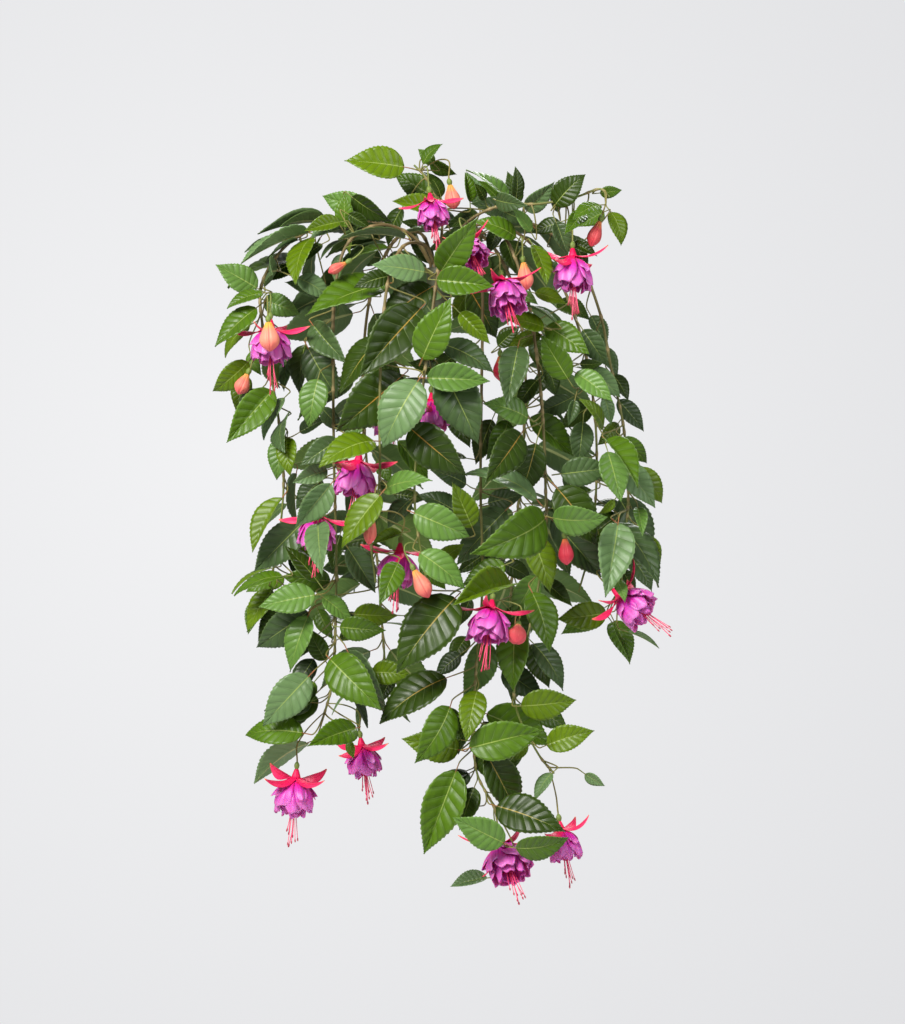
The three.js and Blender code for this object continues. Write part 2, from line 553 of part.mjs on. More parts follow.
// the stems at the back carry a pair of leaves at even steps, by rule
for (const stem of STEMS) {
  if (!stem.every) continue;
  const [step, size] = stem.every;
  const length = stem.curve.getLength();
  for (let s = 100; s < length - 6; s += step) {
    const spot = stem.curve.getPointAt(s / length);
    const out = V(spot.x, spot.y, 0).normalize();
    const across = V(-out.y, out.x, 0);
    for (const hand of [-1, 1]) {
      const angle = pick.next().value;
      const tip = spot.clone().addScaledVector(across, hand * (10 + 8 * angle))
        .addScaledVector(out, 10).add(V(0, 0, -4));
      const lean = hand * across.x > 0 ? 1 : -1;
      const heading = lean * (105 + 55 * pick.next().value);
      const reach = (size * (0.8 + 0.3 * pick.next().value)) * (1 - 0.25 * (s / length));
      placeLeaf(stem, tip, heading, reach, V(out.x, out.y, 0.35).normalize());
    }
  }
}
// the outermost stems also carry leaves that face sideways, forwards and back by turns
for (const stem of STEMS) {
  if (!stem.flank) continue;
  const [start, step, size] = stem.flank;
  const length = stem.curve.getLength();
  let hand = 1;
  for (let s = start; s < length; s += step) {
    const spot = stem.curve.getPointAt(s / length);
    const side = Math.sign(spot.x);
    const reach = size * (0.8 + 0.3 * pick.next().value);
    const lean = -hand * (35 + 20 * pick.next().value);
    const tip = spot.clone().add(V(-12 * side, 14 * hand, -6));
    placeLeaf(stem, tip, 180, reach, V(side, 0, 0.35).normalize(), { lean, way: V(0, 0, 1) });
    hand = -hand;
  }
}

// solids
function solid(geometry) {
  const bare = geometry.clone();
  bare.deleteAttribute('normal');
  bare.deleteAttribute('uv');
  const merged = mergeVertices(bare, 1e-4);
  return new wasm.Manifold(new wasm.Mesh({
    numProp: 3,
    vertProperties: Float32Array.from(merged.attributes.position.array),
    triVerts: Uint32Array.from(merged.index.array),
  }));
}
function meshOf(name, body, color, roughness) {
  const { vertProperties, triVerts } = body.getMesh();
  const geometry = new THREE.BufferGeometry();
  geometry.setAttribute('position', new THREE.BufferAttribute(Float32Array.from(vertProperties), 3));
  geometry.setIndex(new THREE.BufferAttribute(Uint32Array.from(triVerts), 1));
  geometry.computeVertexNormals();
  const mesh = new THREE.Mesh(geometry, new THREE.MeshStandardMaterial({ color, roughness, metalness: 0 }));
  mesh.name = name;
  return mesh;
}
// a run of straight lengths, for a stem
class Run extends THREE.Curve {
  constructor(stops) {
    super();
    this.stops = stops;
  }
  getPoint(t, target = new THREE.Vector3()) {
    const last = this.stops.length - 1;
    const i = Math.min(Math.floor(t * last), last - 1);
    return target.copy(this.stops[i]).lerp(this.stops[i + 1], t * last - i);
  }
  getSpacedPoints() {
    return this.stops;
  }
  getTangentAt(u, target = new THREE.Vector3()) {
    const last = this.stops.length - 1;
    const i = Math.round(u * last);
    return target.copy(this.stops[Math.min(i + 1, last)]).sub(this.stops[Math.max(i - 1, 0)]).normalize();
  }
}
function rod(stops, radius, sides) {
  const section = new THREE.Shape();
  for (let i = 0; i < sides; i++) {
    const a = (i * 2 * Math.PI) / sides;
    section[i ? 'lineTo' : 'moveTo'](radius * Math.cos(a), radius * Math.sin(a));
  }
  section.closePath();
  const options = { steps: stops.length - 1, bevelEnabled: false, extrudePath: new Run(stops) };
  return solid(new THREE.ExtrudeGeometry(section, options));
}
// a closed surface from loose triangles of points
function surface(triangles) {
  const geometry = new THREE.BufferGeometry();
  const numbers = triangles.flat().flatMap((p) => [p.x, p.y, p.z]);
  geometry.setAttribute('position', new THREE.Float32BufferAttribute(numbers, 3));
  return solid(geometry);
}
// a ring of points round an axis, and the wall between two rings
function ringOf(frame, base, radius, reach, sides) {
  const ring = [];
  for (let j = 0; j < sides; j++) {
    ring.push(beside(frame, base, radius, reach, ((j - 0.5) * 2 * Math.PI) / sides));
  }
  return ring;
}
function wall(near, far, skip = () => false) {
  const faces = [];
  near.forEach((p, j) => {
    const k = (j + 1) % near.length;
    if (!skip(j)) faces.push([p, near[k], far[k]], [p, far[k], far[j]]);
  });
  return faces;
}
// a thin blade, split into the same triangles on both faces: pairs of points [left, right],
// each a [top, bottom], a row of rib points between the last pairs, and a tip or a blunt end
function blade(pairs, ribs, tip, openRoot) {
  const faces = [];
  const cover = (a, b, c) => {
    faces.push([a[0], b[0], c[0]]);
    faces.push([c[1], b[1], a[1]]);
  };
  const ribbed = ribs.length ? ribs[0].after : pairs.length - 1;
  for (let i = 0; i < ribbed; i++) {
    cover(pairs[i][0], pairs[i][1], pairs[i + 1][1]);
    cover(pairs[i][0], pairs[i + 1][1], pairs[i + 1][0]);
  }
  if (ribs.length) {
    cover(pairs[ribbed][0], pairs[ribbed][1], ribs[0].point);
    for (const hand of [1, 0]) {
      const split = (a, b, c) => (hand ? cover(a, b, c) : cover(b, a, c));
      const chain = [...pairs.slice(ribbed).map((pair) => pair[hand]), tip];
      let j = 0;
      for (let i = 0; i + 1 < chain.length; i++) {
        while (j + 1 < ribs.length && ribs[j + 1].after <= ribbed + i) {
          split(chain[i], ribs[j + 1].point, ribs[j].point);
          j += 1;
        }
        split(chain[i], chain[i + 1], ribs[j].point);
      }
    }
  } else if (tip) {
    cover(pairs[ribbed][0], pairs[ribbed][1], tip);
  }
  const up = pairs.map((pair) => pair[1]);
  const down = pairs.map((pair) => pair[0]).reverse();
  const edge = [...up, ...(tip ? [tip] : []), ...down];
  edge.forEach((a, i) => {
    if (i === edge.length - 1 && openRoot) return;
    const b = edge[(i + 1) % edge.length];
    faces.push([a[0], a[1], b[1]], [a[0], b[1], b[0]]);
  });
  return faces;
}
const thick = ({ point, normal }, thickness) => [0.5, -0.5].map((side) => (
  point.clone().addScaledVector(normal, side * thickness)));

const bush = new THREE.Group();

// the stub: a tapered plug, flat at its lower end, with a hole for each stem's root
{
  const profile = [[0, 0], [STUB_END_RADIUS, 0], [STUB_END_RADIUS, 26], [STUB_HEAD_RADIUS, 40],
    [STUB_HEAD_RADIUS, STUB_HEIGHT], [0, STUB_HEIGHT]].map(([r, z]) => new THREE.Vector2(r, z));
  let stub = solid(new THREE.LatheGeometry(profile, 14).rotateX(Math.PI / 2));
  for (const stem of STEMS) {
    const { x, y } = stem.chain[0];
    const hole = new THREE.CylinderGeometry(STEM_RADIUS + 2 * ROOT_GAP, STEM_RADIUS + 2 * ROOT_GAP, 30, 6);
    stub = stub.subtract(solid(hole.rotateX(Math.PI / 2).translate(x, y, ROOT_FLOOR + 15)));
  }
  bush.add(meshOf('stub', stub, '#3a3f2c', 0.6));
}

// leafy stems: the rod, the pedicels with their ovaries, and the leaves on their stalks
STEMS.forEach((stem, n) => {
  let body = rod(stem.chain, STEM_RADIUS, 5);
  for (const { root, high, ovary, base, axis } of stem.pedicels) {
    const rings = [[root, PEDICEL_RADIUS], [high, PEDICEL_RADIUS], [ovary, 1.1],
      [base.clone().addScaledVector(axis, -3.4), 2.7], [base, 1.7]];
    const points = rings.map(([p]) => p);
    const seen = V(0.31, -0.9, 0.22).normalize();
    const around = rings.map(([p, radius], i) => {
      const run = points[Math.min(i + 1, 4)].clone().sub(points[Math.max(i - 1, 0)]).normalize();
      const one = seen.clone().addScaledVector(run, -seen.dot(run)).normalize();
      return ringOf({ axis: run, one, two: run.clone().cross(one) }, p, radius, 0, 3);
    });
    const faces = [[around[0][2], around[0][1], around[0][0]], [around[4][0], around[4][1], around[4][2]]];
    for (let i = 0; i < 4; i++) faces.push(...wall(around[i], around[i + 1]));
    body = body.add(surface(faces));
  }
  for (const { leaf, root, end } of stem.twigs) {
    if (leaf.chord < LEAF_BUILD_LENGTH) continue;
    const straight = root.distanceTo(end) < 26;
    const run = (straight ? leaf.base : end).clone().sub(root).normalize();
    const side = run.clone().cross(leaf.lift).normalize();
    const stalk = [{ point: root, side, normal: side.clone().cross(run).normalize() }];
    if (!straight) stalk.push({ point: end, normal: leaf.lift, side: leaf.side });
    stalk.push({ point: leaf.base, normal: leaf.lift, side: leaf.side });
    const pairs = stalk.map((stop) => [-0.5, 0.5].map((hand) => {
      const point = stop.point.clone().addScaledVector(stop.side, hand * PETIOLE_WIDTH);
      return thick({ point, normal: stop.normal }, BLADE_THICKNESS);
    }));
    const row = leaf.chord >= LARGE_LEAF ? LEAF_SIDE : SMALL_LEAF_SIDE;
    for (const [u, w] of row) {
      pairs.push([-w, w].map((v) => thick(leafPoint(leaf, u, v), BLADE_THICKNESS)));
    }
    const ribs = LEAF_RIB.map((u) => ({
      point: thick(leafPoint(leaf, u, 0), BLADE_THICKNESS),
      after: stalk.length - 1 + (u > 0.5 ? row.filter(([at]) => at < u).length : 0),
    }));
    body = body.add(surface(blade(pairs, ribs, thick(leafPoint(leaf, 1, 0), BLADE_THICKNESS), false)));
  }
  bush.add(meshOf(stem.name, body, GREENS[n % GREENS.length], 0.5));
});

// blooms: a calyx whose four sepals and stamens grow out of its tube, and a corolla whose
// eight petals, outer and inner by turns, grow out of the ring that the tube's core passes
for (const flower of flowers) {
  const { base, frame, size } = flower;
  const tube = TUBE_RINGS.map(([radius, reach]) => ringOf(frame, base, radius * size, reach * size, 8));
  const faces = [];
  for (let j = 1; j < 7; j++) faces.push([tube[0][0], tube[0][j + 1], tube[0][j]]);
  faces.push(...wall(tube[0], tube[1]), ...wall(tube[2], tube[3]));
  faces.push(...wall(tube[1], tube[2], (j) => j % 2 === 0));
  const end = base.clone().addScaledVector(frame.axis, TUBE_RINGS[3][1] * size);
  for (let j = 0; j < 8; j++) {
    const k = (j + 1) % 8;
    if (j % 2) {
      faces.push([end, tube[3][j], tube[3][k]]);
      continue;
    }
    const tip = stamenTip(flower, j / 2);
    faces.push([end, tube[3][j], tip], [tube[3][j], tube[3][k], tip], [tube[3][k], end, tip]);
    const root = [[tube[1][j], tube[2][j]], [tube[1][k], tube[2][k]]];
    const broad = [-1, 1].map((hand) => thick(sepalPoint(flower, j / 2, 0.42, hand), 1.1 * size));
    faces.push(...blade([root, broad], [], thick(sepalPoint(flower, j / 2, 1, 0), BLADE_THICKNESS), true));
  }
  const calyx = surface(faces);
  const [outTop, outLow] = [11, 13.6].map((reach) => ringOf(frame, base, PETAL_RING * size, reach * size, 8));
  const [inTop, inLow] = [11, 13.6].map((reach) => ringOf(frame, base, 3.7 * size, reach * size, 8));
  const petals = [...wall(inLow, inTop), ...wall(inTop, outTop), ...wall(outLow, inLow)];
  for (let j = 0; j < 8; j++) {
    const k = (j + 1) % 8;
    const pairs = [[[outTop[j], outLow[j]], [outTop[k], outLow[k]]]];
    for (const [u, w] of j % 2 ? INNER_PETAL_SIDE : PETAL_SIDE) {
      pairs.push([-w, w].map((v) => thick(petalPoint(flower, j, u, v), BLADE_THICKNESS)));
    }
    petals.push(...blade(pairs, [], null, true));
  }
  const corolla = surface(petals);
  bush.add(meshOf(`${flower.name}_calyx`, calyx, CALYX_COLOR, 0.55));
  bush.add(meshOf(`${flower.name}_corolla`, corolla, COROLLA_COLOR, 0.6));
}

// buds: closed teardrops with four seams
for (const bud of budList) {
  const { base, frame, length, width } = bud;
  const profile = [[0, 0.3], [0.16 * width, 0.3], [0.5 * width, 0.6 * length],
    [0.28 * width, 0.88 * length], [0, length]].map(([r, y]) => new THREE.Vector2(r, y));
  const geometry = new THREE.LatheGeometry(profile, 8);
  const spots = geometry.attributes.position;
  for (let i = 0; i < spots.count; i++) {
    const seam = 1 - 0.07 * (0.5 + 0.5 * Math.cos(4 * Math.atan2(spots.getX(i), spots.getZ(i))));
    spots.setXYZ(i, spots.getX(i) * seam, spots.getY(i), spots.getZ(i) * seam);
  }
  const third = frame.one.clone().cross(frame.axis);
  const stand = new THREE.Matrix4().makeBasis(frame.one, frame.axis, third).setPosition(base);
  bush.add(meshOf(bud.name, solid(geometry.applyMatrix4(stand)), BUD_COLOR, 0.45));
}

export default bush;
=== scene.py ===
import itertools
import json
import math

import bpy
import numpy as np
from mathutils import Matrix, Vector

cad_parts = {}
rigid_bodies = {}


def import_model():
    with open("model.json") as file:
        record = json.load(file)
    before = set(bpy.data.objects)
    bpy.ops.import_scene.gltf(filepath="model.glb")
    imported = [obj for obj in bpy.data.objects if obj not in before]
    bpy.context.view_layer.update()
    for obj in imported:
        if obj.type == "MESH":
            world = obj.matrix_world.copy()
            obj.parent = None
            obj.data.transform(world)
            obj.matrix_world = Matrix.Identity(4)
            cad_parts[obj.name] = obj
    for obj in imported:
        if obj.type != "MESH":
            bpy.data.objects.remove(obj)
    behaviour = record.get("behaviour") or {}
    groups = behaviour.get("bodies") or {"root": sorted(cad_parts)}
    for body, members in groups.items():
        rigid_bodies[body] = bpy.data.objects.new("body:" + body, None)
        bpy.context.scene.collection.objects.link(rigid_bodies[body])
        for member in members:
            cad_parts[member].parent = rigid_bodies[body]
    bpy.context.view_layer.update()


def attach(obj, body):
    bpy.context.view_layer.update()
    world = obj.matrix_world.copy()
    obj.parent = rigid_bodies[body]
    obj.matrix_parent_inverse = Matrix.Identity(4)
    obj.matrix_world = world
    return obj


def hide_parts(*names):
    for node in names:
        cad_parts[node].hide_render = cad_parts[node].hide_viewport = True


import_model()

# The view and the light.
# The bush hangs free in front of a pale ground, seen from the front with a long lens, in
# soft frontal light: one large window light from the upper left, a weaker one from the right.
MM = 0.001
EYE = (12.5, -3000, -182)
VIEW_HEIGHT = 1024
SENSOR = 36
LAMP_AIM = Vector((0, 0, -0.18))
PALE_GROUND = (0.89, 0.892, 0.905)
PALE_EDGE = (0.735, 0.738, 0.755)
BRIGHTEST_WAY = (-0.07, 0.02)
GROUND_FADE = 3.0
WALL_LIGHT = 0.33
FLOOR_SHADE = (0.74, 0.745, 0.76)
FLOOR_HEIGHT = -1.62
FLOOR_RADIUS = 5.0
FLOOR_SIDES = 96


def placed(name, data):
    thing = bpy.data.objects.new(name, data)
    bpy.context.scene.collection.objects.link(thing)
    return thing


lens = bpy.data.cameras.new("view")
lens.sensor_width = SENSOR
lens.lens = SENSOR * -EYE[1] / VIEW_HEIGHT
lens.clip_end = 40.0
view = placed("view", lens)
view.location = Vector(EYE) * MM
view.rotation_euler = (math.pi / 2, 0, 0)
bpy.context.scene.camera = view
bpy.context.scene.view_settings.view_transform = "Standard"


def lamp(name, place, size, watts, colour):
    light = bpy.data.lights.new(name, "AREA")
    light.shape = "SQUARE"
    light.size = size
    light.energy = watts
    light.color = colour
    held = placed(name, light)
    held.location = place
    held.rotation_euler = (LAMP_AIM - Vector(place)).to_track_quat("-Z", "Y").to_euler()


lamp("window_left", (-1.4, -2.2, 1.6), 1.2, 175, (1.0, 0.985, 0.95))
lamp("window_right", (2.3, -1.9, 0.9), 1.2, 42, (0.97, 0.985, 1.0))
lamp("window_back", (0.6, 2.6, 1.9), 1.4, 60, (1.0, 1.0, 1.0))

# The ground is brightest a little left of the bush and fades evenly all round.
sky = bpy.data.worlds.new("pale_ground")
sky.use_nodes = True
nodes, links = sky.node_tree.nodes, sky.node_tree.links
background = nodes["Background"]
way = nodes.new("ShaderNodeTexCoord").outputs["Generated"]
spread = nodes.new("ShaderNodeMapping")
spread.inputs["Scale"].default_value = (GROUND_FADE, 0, GROUND_FADE)
across, up = BRIGHTEST_WAY
spread.inputs["Location"].default_value = (-GROUND_FADE * across, 0, -GROUND_FADE * up)
fade = nodes.new("ShaderNodeTexGradient")
fade.gradient_type = "SPHERICAL"
shade = nodes.new("ShaderNodeMix")
shade.data_type = "RGBA"
shade.inputs[6].default_value = (*PALE_EDGE, 1)
shade.inputs[7].default_value = (*PALE_GROUND, 1)
links.new(way, spread.inputs["Vector"])
links.new(spread.outputs["Vector"], fade.inputs["Vector"])
links.new(fade.outputs["Fac"], shade.inputs[0])
links.new(shade.outputs[2], background.inputs["Color"])
# It is seen at its full paleness, but lights the leaves like a studio's dim walls.
seen = nodes.new("ShaderNodeLightPath").outputs["Is Camera Ray"]
level = nodes.new("ShaderNodeMapRange")
level.inputs["To Min"].default_value = WALL_LIGHT
level.inputs["To Max"].default_value = 1.0
links.new(seen, level.inputs["Value"])
links.new(level.outputs["Result"], background.inputs["Strength"])
bpy.context.scene.world = sky


# Shader sums are written as Python expressions on Wire, which holds one socket.
class Wire:
    def __init__(self, finish, socket):
        self.finish = finish
        self.socket = socket

    def sum(self, operation, *others):
        return self.finish.add("ShaderNodeMath", {"operation": operation}, dict(enumerate(others)))

    def __add__(self, other):
        return self.sum("ADD", self, other)

    def __radd__(self, other):
        return self.sum("ADD", other, self)

    def __sub__(self, other):
        return self.sum("SUBTRACT", self, other)

    def __rsub__(self, other):
        return self.sum("SUBTRACT", other, self)

    def __mul__(self, other):
        return self.sum("MULTIPLY", self, other)

    def __rmul__(self, other):
        return self.sum("MULTIPLY", other, self)

    def __truediv__(self, other):
        return self.sum("DIVIDE", self, other)

    def __pow__(self, other):
        return self.sum("POWER", self, other)

    def step(self, low, high):
        """0 below low, 1 above high, smooth between; low may be the larger."""
        settings = {"interpolation_type": "SMOOTHSTEP"}
        sockets = {"Value": self, "From Min": min(low, high), "From Max": max(low, high)}
        rise = self.finish.add("ShaderNodeMapRange", settings, sockets)
        return rise if low < high else 1 - rise


class Finish:
    """One material: a Principled shader and the nodes that feed it."""

    def __init__(self, name, **constants):
        self.material = bpy.data.materials.new(name)
        self.material.use_nodes = True
        self.tree = self.material.node_tree
        self.shader = self.tree.nodes["Principled BSDF"]
        for key, value in constants.items():
            self.shader.inputs[key.replace("_", " ")].default_value = value

    def add(self, kind, settings=None, sockets=None, out=0):
        node = self.tree.nodes.new(kind)
        for key, value in (settings or {}).items():
            setattr(node, key, value)
        for key, value in (sockets or {}).items():
            if isinstance(value, Wire):
                self.tree.links.new(value.socket, node.inputs[key])
            elif isinstance(value, tuple) and len(value) == 3 and node.inputs[key].type == "RGBA":
                node.inputs[key].default_value = (*value, 1)
            else:
                node.inputs[key].default_value = value
        return Wire(self, node.outputs[out])

    def attribute(self, name):
        return self.add("ShaderNodeAttribute", {"attribute_name": name}, out="Vector")

    def parts(self, name):
        """The three values of the attribute of that name."""
        node = self.add("ShaderNodeSeparateXYZ", sockets={0: self.attribute(name)}).socket.node
        return [Wire(self, socket) for socket in node.outputs]

    def mix(self, factor, colour, other, blend="MIX"):
        settings = {"data_type": "RGBA", "blend_type": blend}
        return self.add("ShaderNodeMix", settings, {0: factor, 6: colour, 7: other}, out=2)

    def coated(self, colour, *coats):
        """A colour under its coats, each given by a mask and a colour."""
        for mask, over in coats:
            colour = self.mix(mask, colour, over)
        return colour

    def noise(self, scale, detail=2.0):
        place = self.add("ShaderNodeTexCoord", out="Object")
        return self.add("ShaderNodeTexNoise", sockets={"Vector": place, "Scale": scale, "Detail": detail})

    def feed(self, **inputs):
        for key, wire in inputs.items():
            self.tree.links.new(wire.socket, self.shader.inputs[key.replace("_", " ")])

    def bump(self, height, strength, distance):
        sockets = {"Height": height, "Strength": strength, "Distance": distance}
        self.feed(Normal=self.add("ShaderNodeBump", sockets=sockets))


floor_finish = Finish("pale_floor", Roughness=0.9)
soft_patch = floor_finish.noise(0.8)
floor_finish.feed(Base_Color=floor_finish.mix(soft_patch * 0.3, PALE_GROUND, FLOOR_SHADE))
disc = bpy.data.meshes.new("floor")
angles = [2 * math.pi * k / FLOOR_SIDES for k in range(FLOOR_SIDES)]
rim = [(FLOOR_RADIUS * math.cos(a), FLOOR_RADIUS * math.sin(a), FLOOR_HEIGHT) for a in angles]
disc.from_pydata(rim, [], [list(range(FLOOR_SIDES))])
disc.materials.append(floor_finish.material)
placed("floor", disc)

# The stems, and where everything on them grows.
# Ten stems round the stub and two in its middle, olive plastic over a wire, rise and then
# droop. Each passes the points of its route; its leaves, blooms and buds hang from it.
STUB_HEAD_RADIUS = 13.5
STUB_HEIGHT = 62
ROOT_RING_RADIUS = 9.7
ROOT_PITCH_DEG = 36
INNER_RING_RADIUS = 3.1
ROOT_FLOOR = 44.3
STEM_RADIUS = 1.75
CHAIN_STEP = 52
LINK_PARTS = 6
STALK = 8
DEPTH = 0.82
SPLINE_STEPS = 200

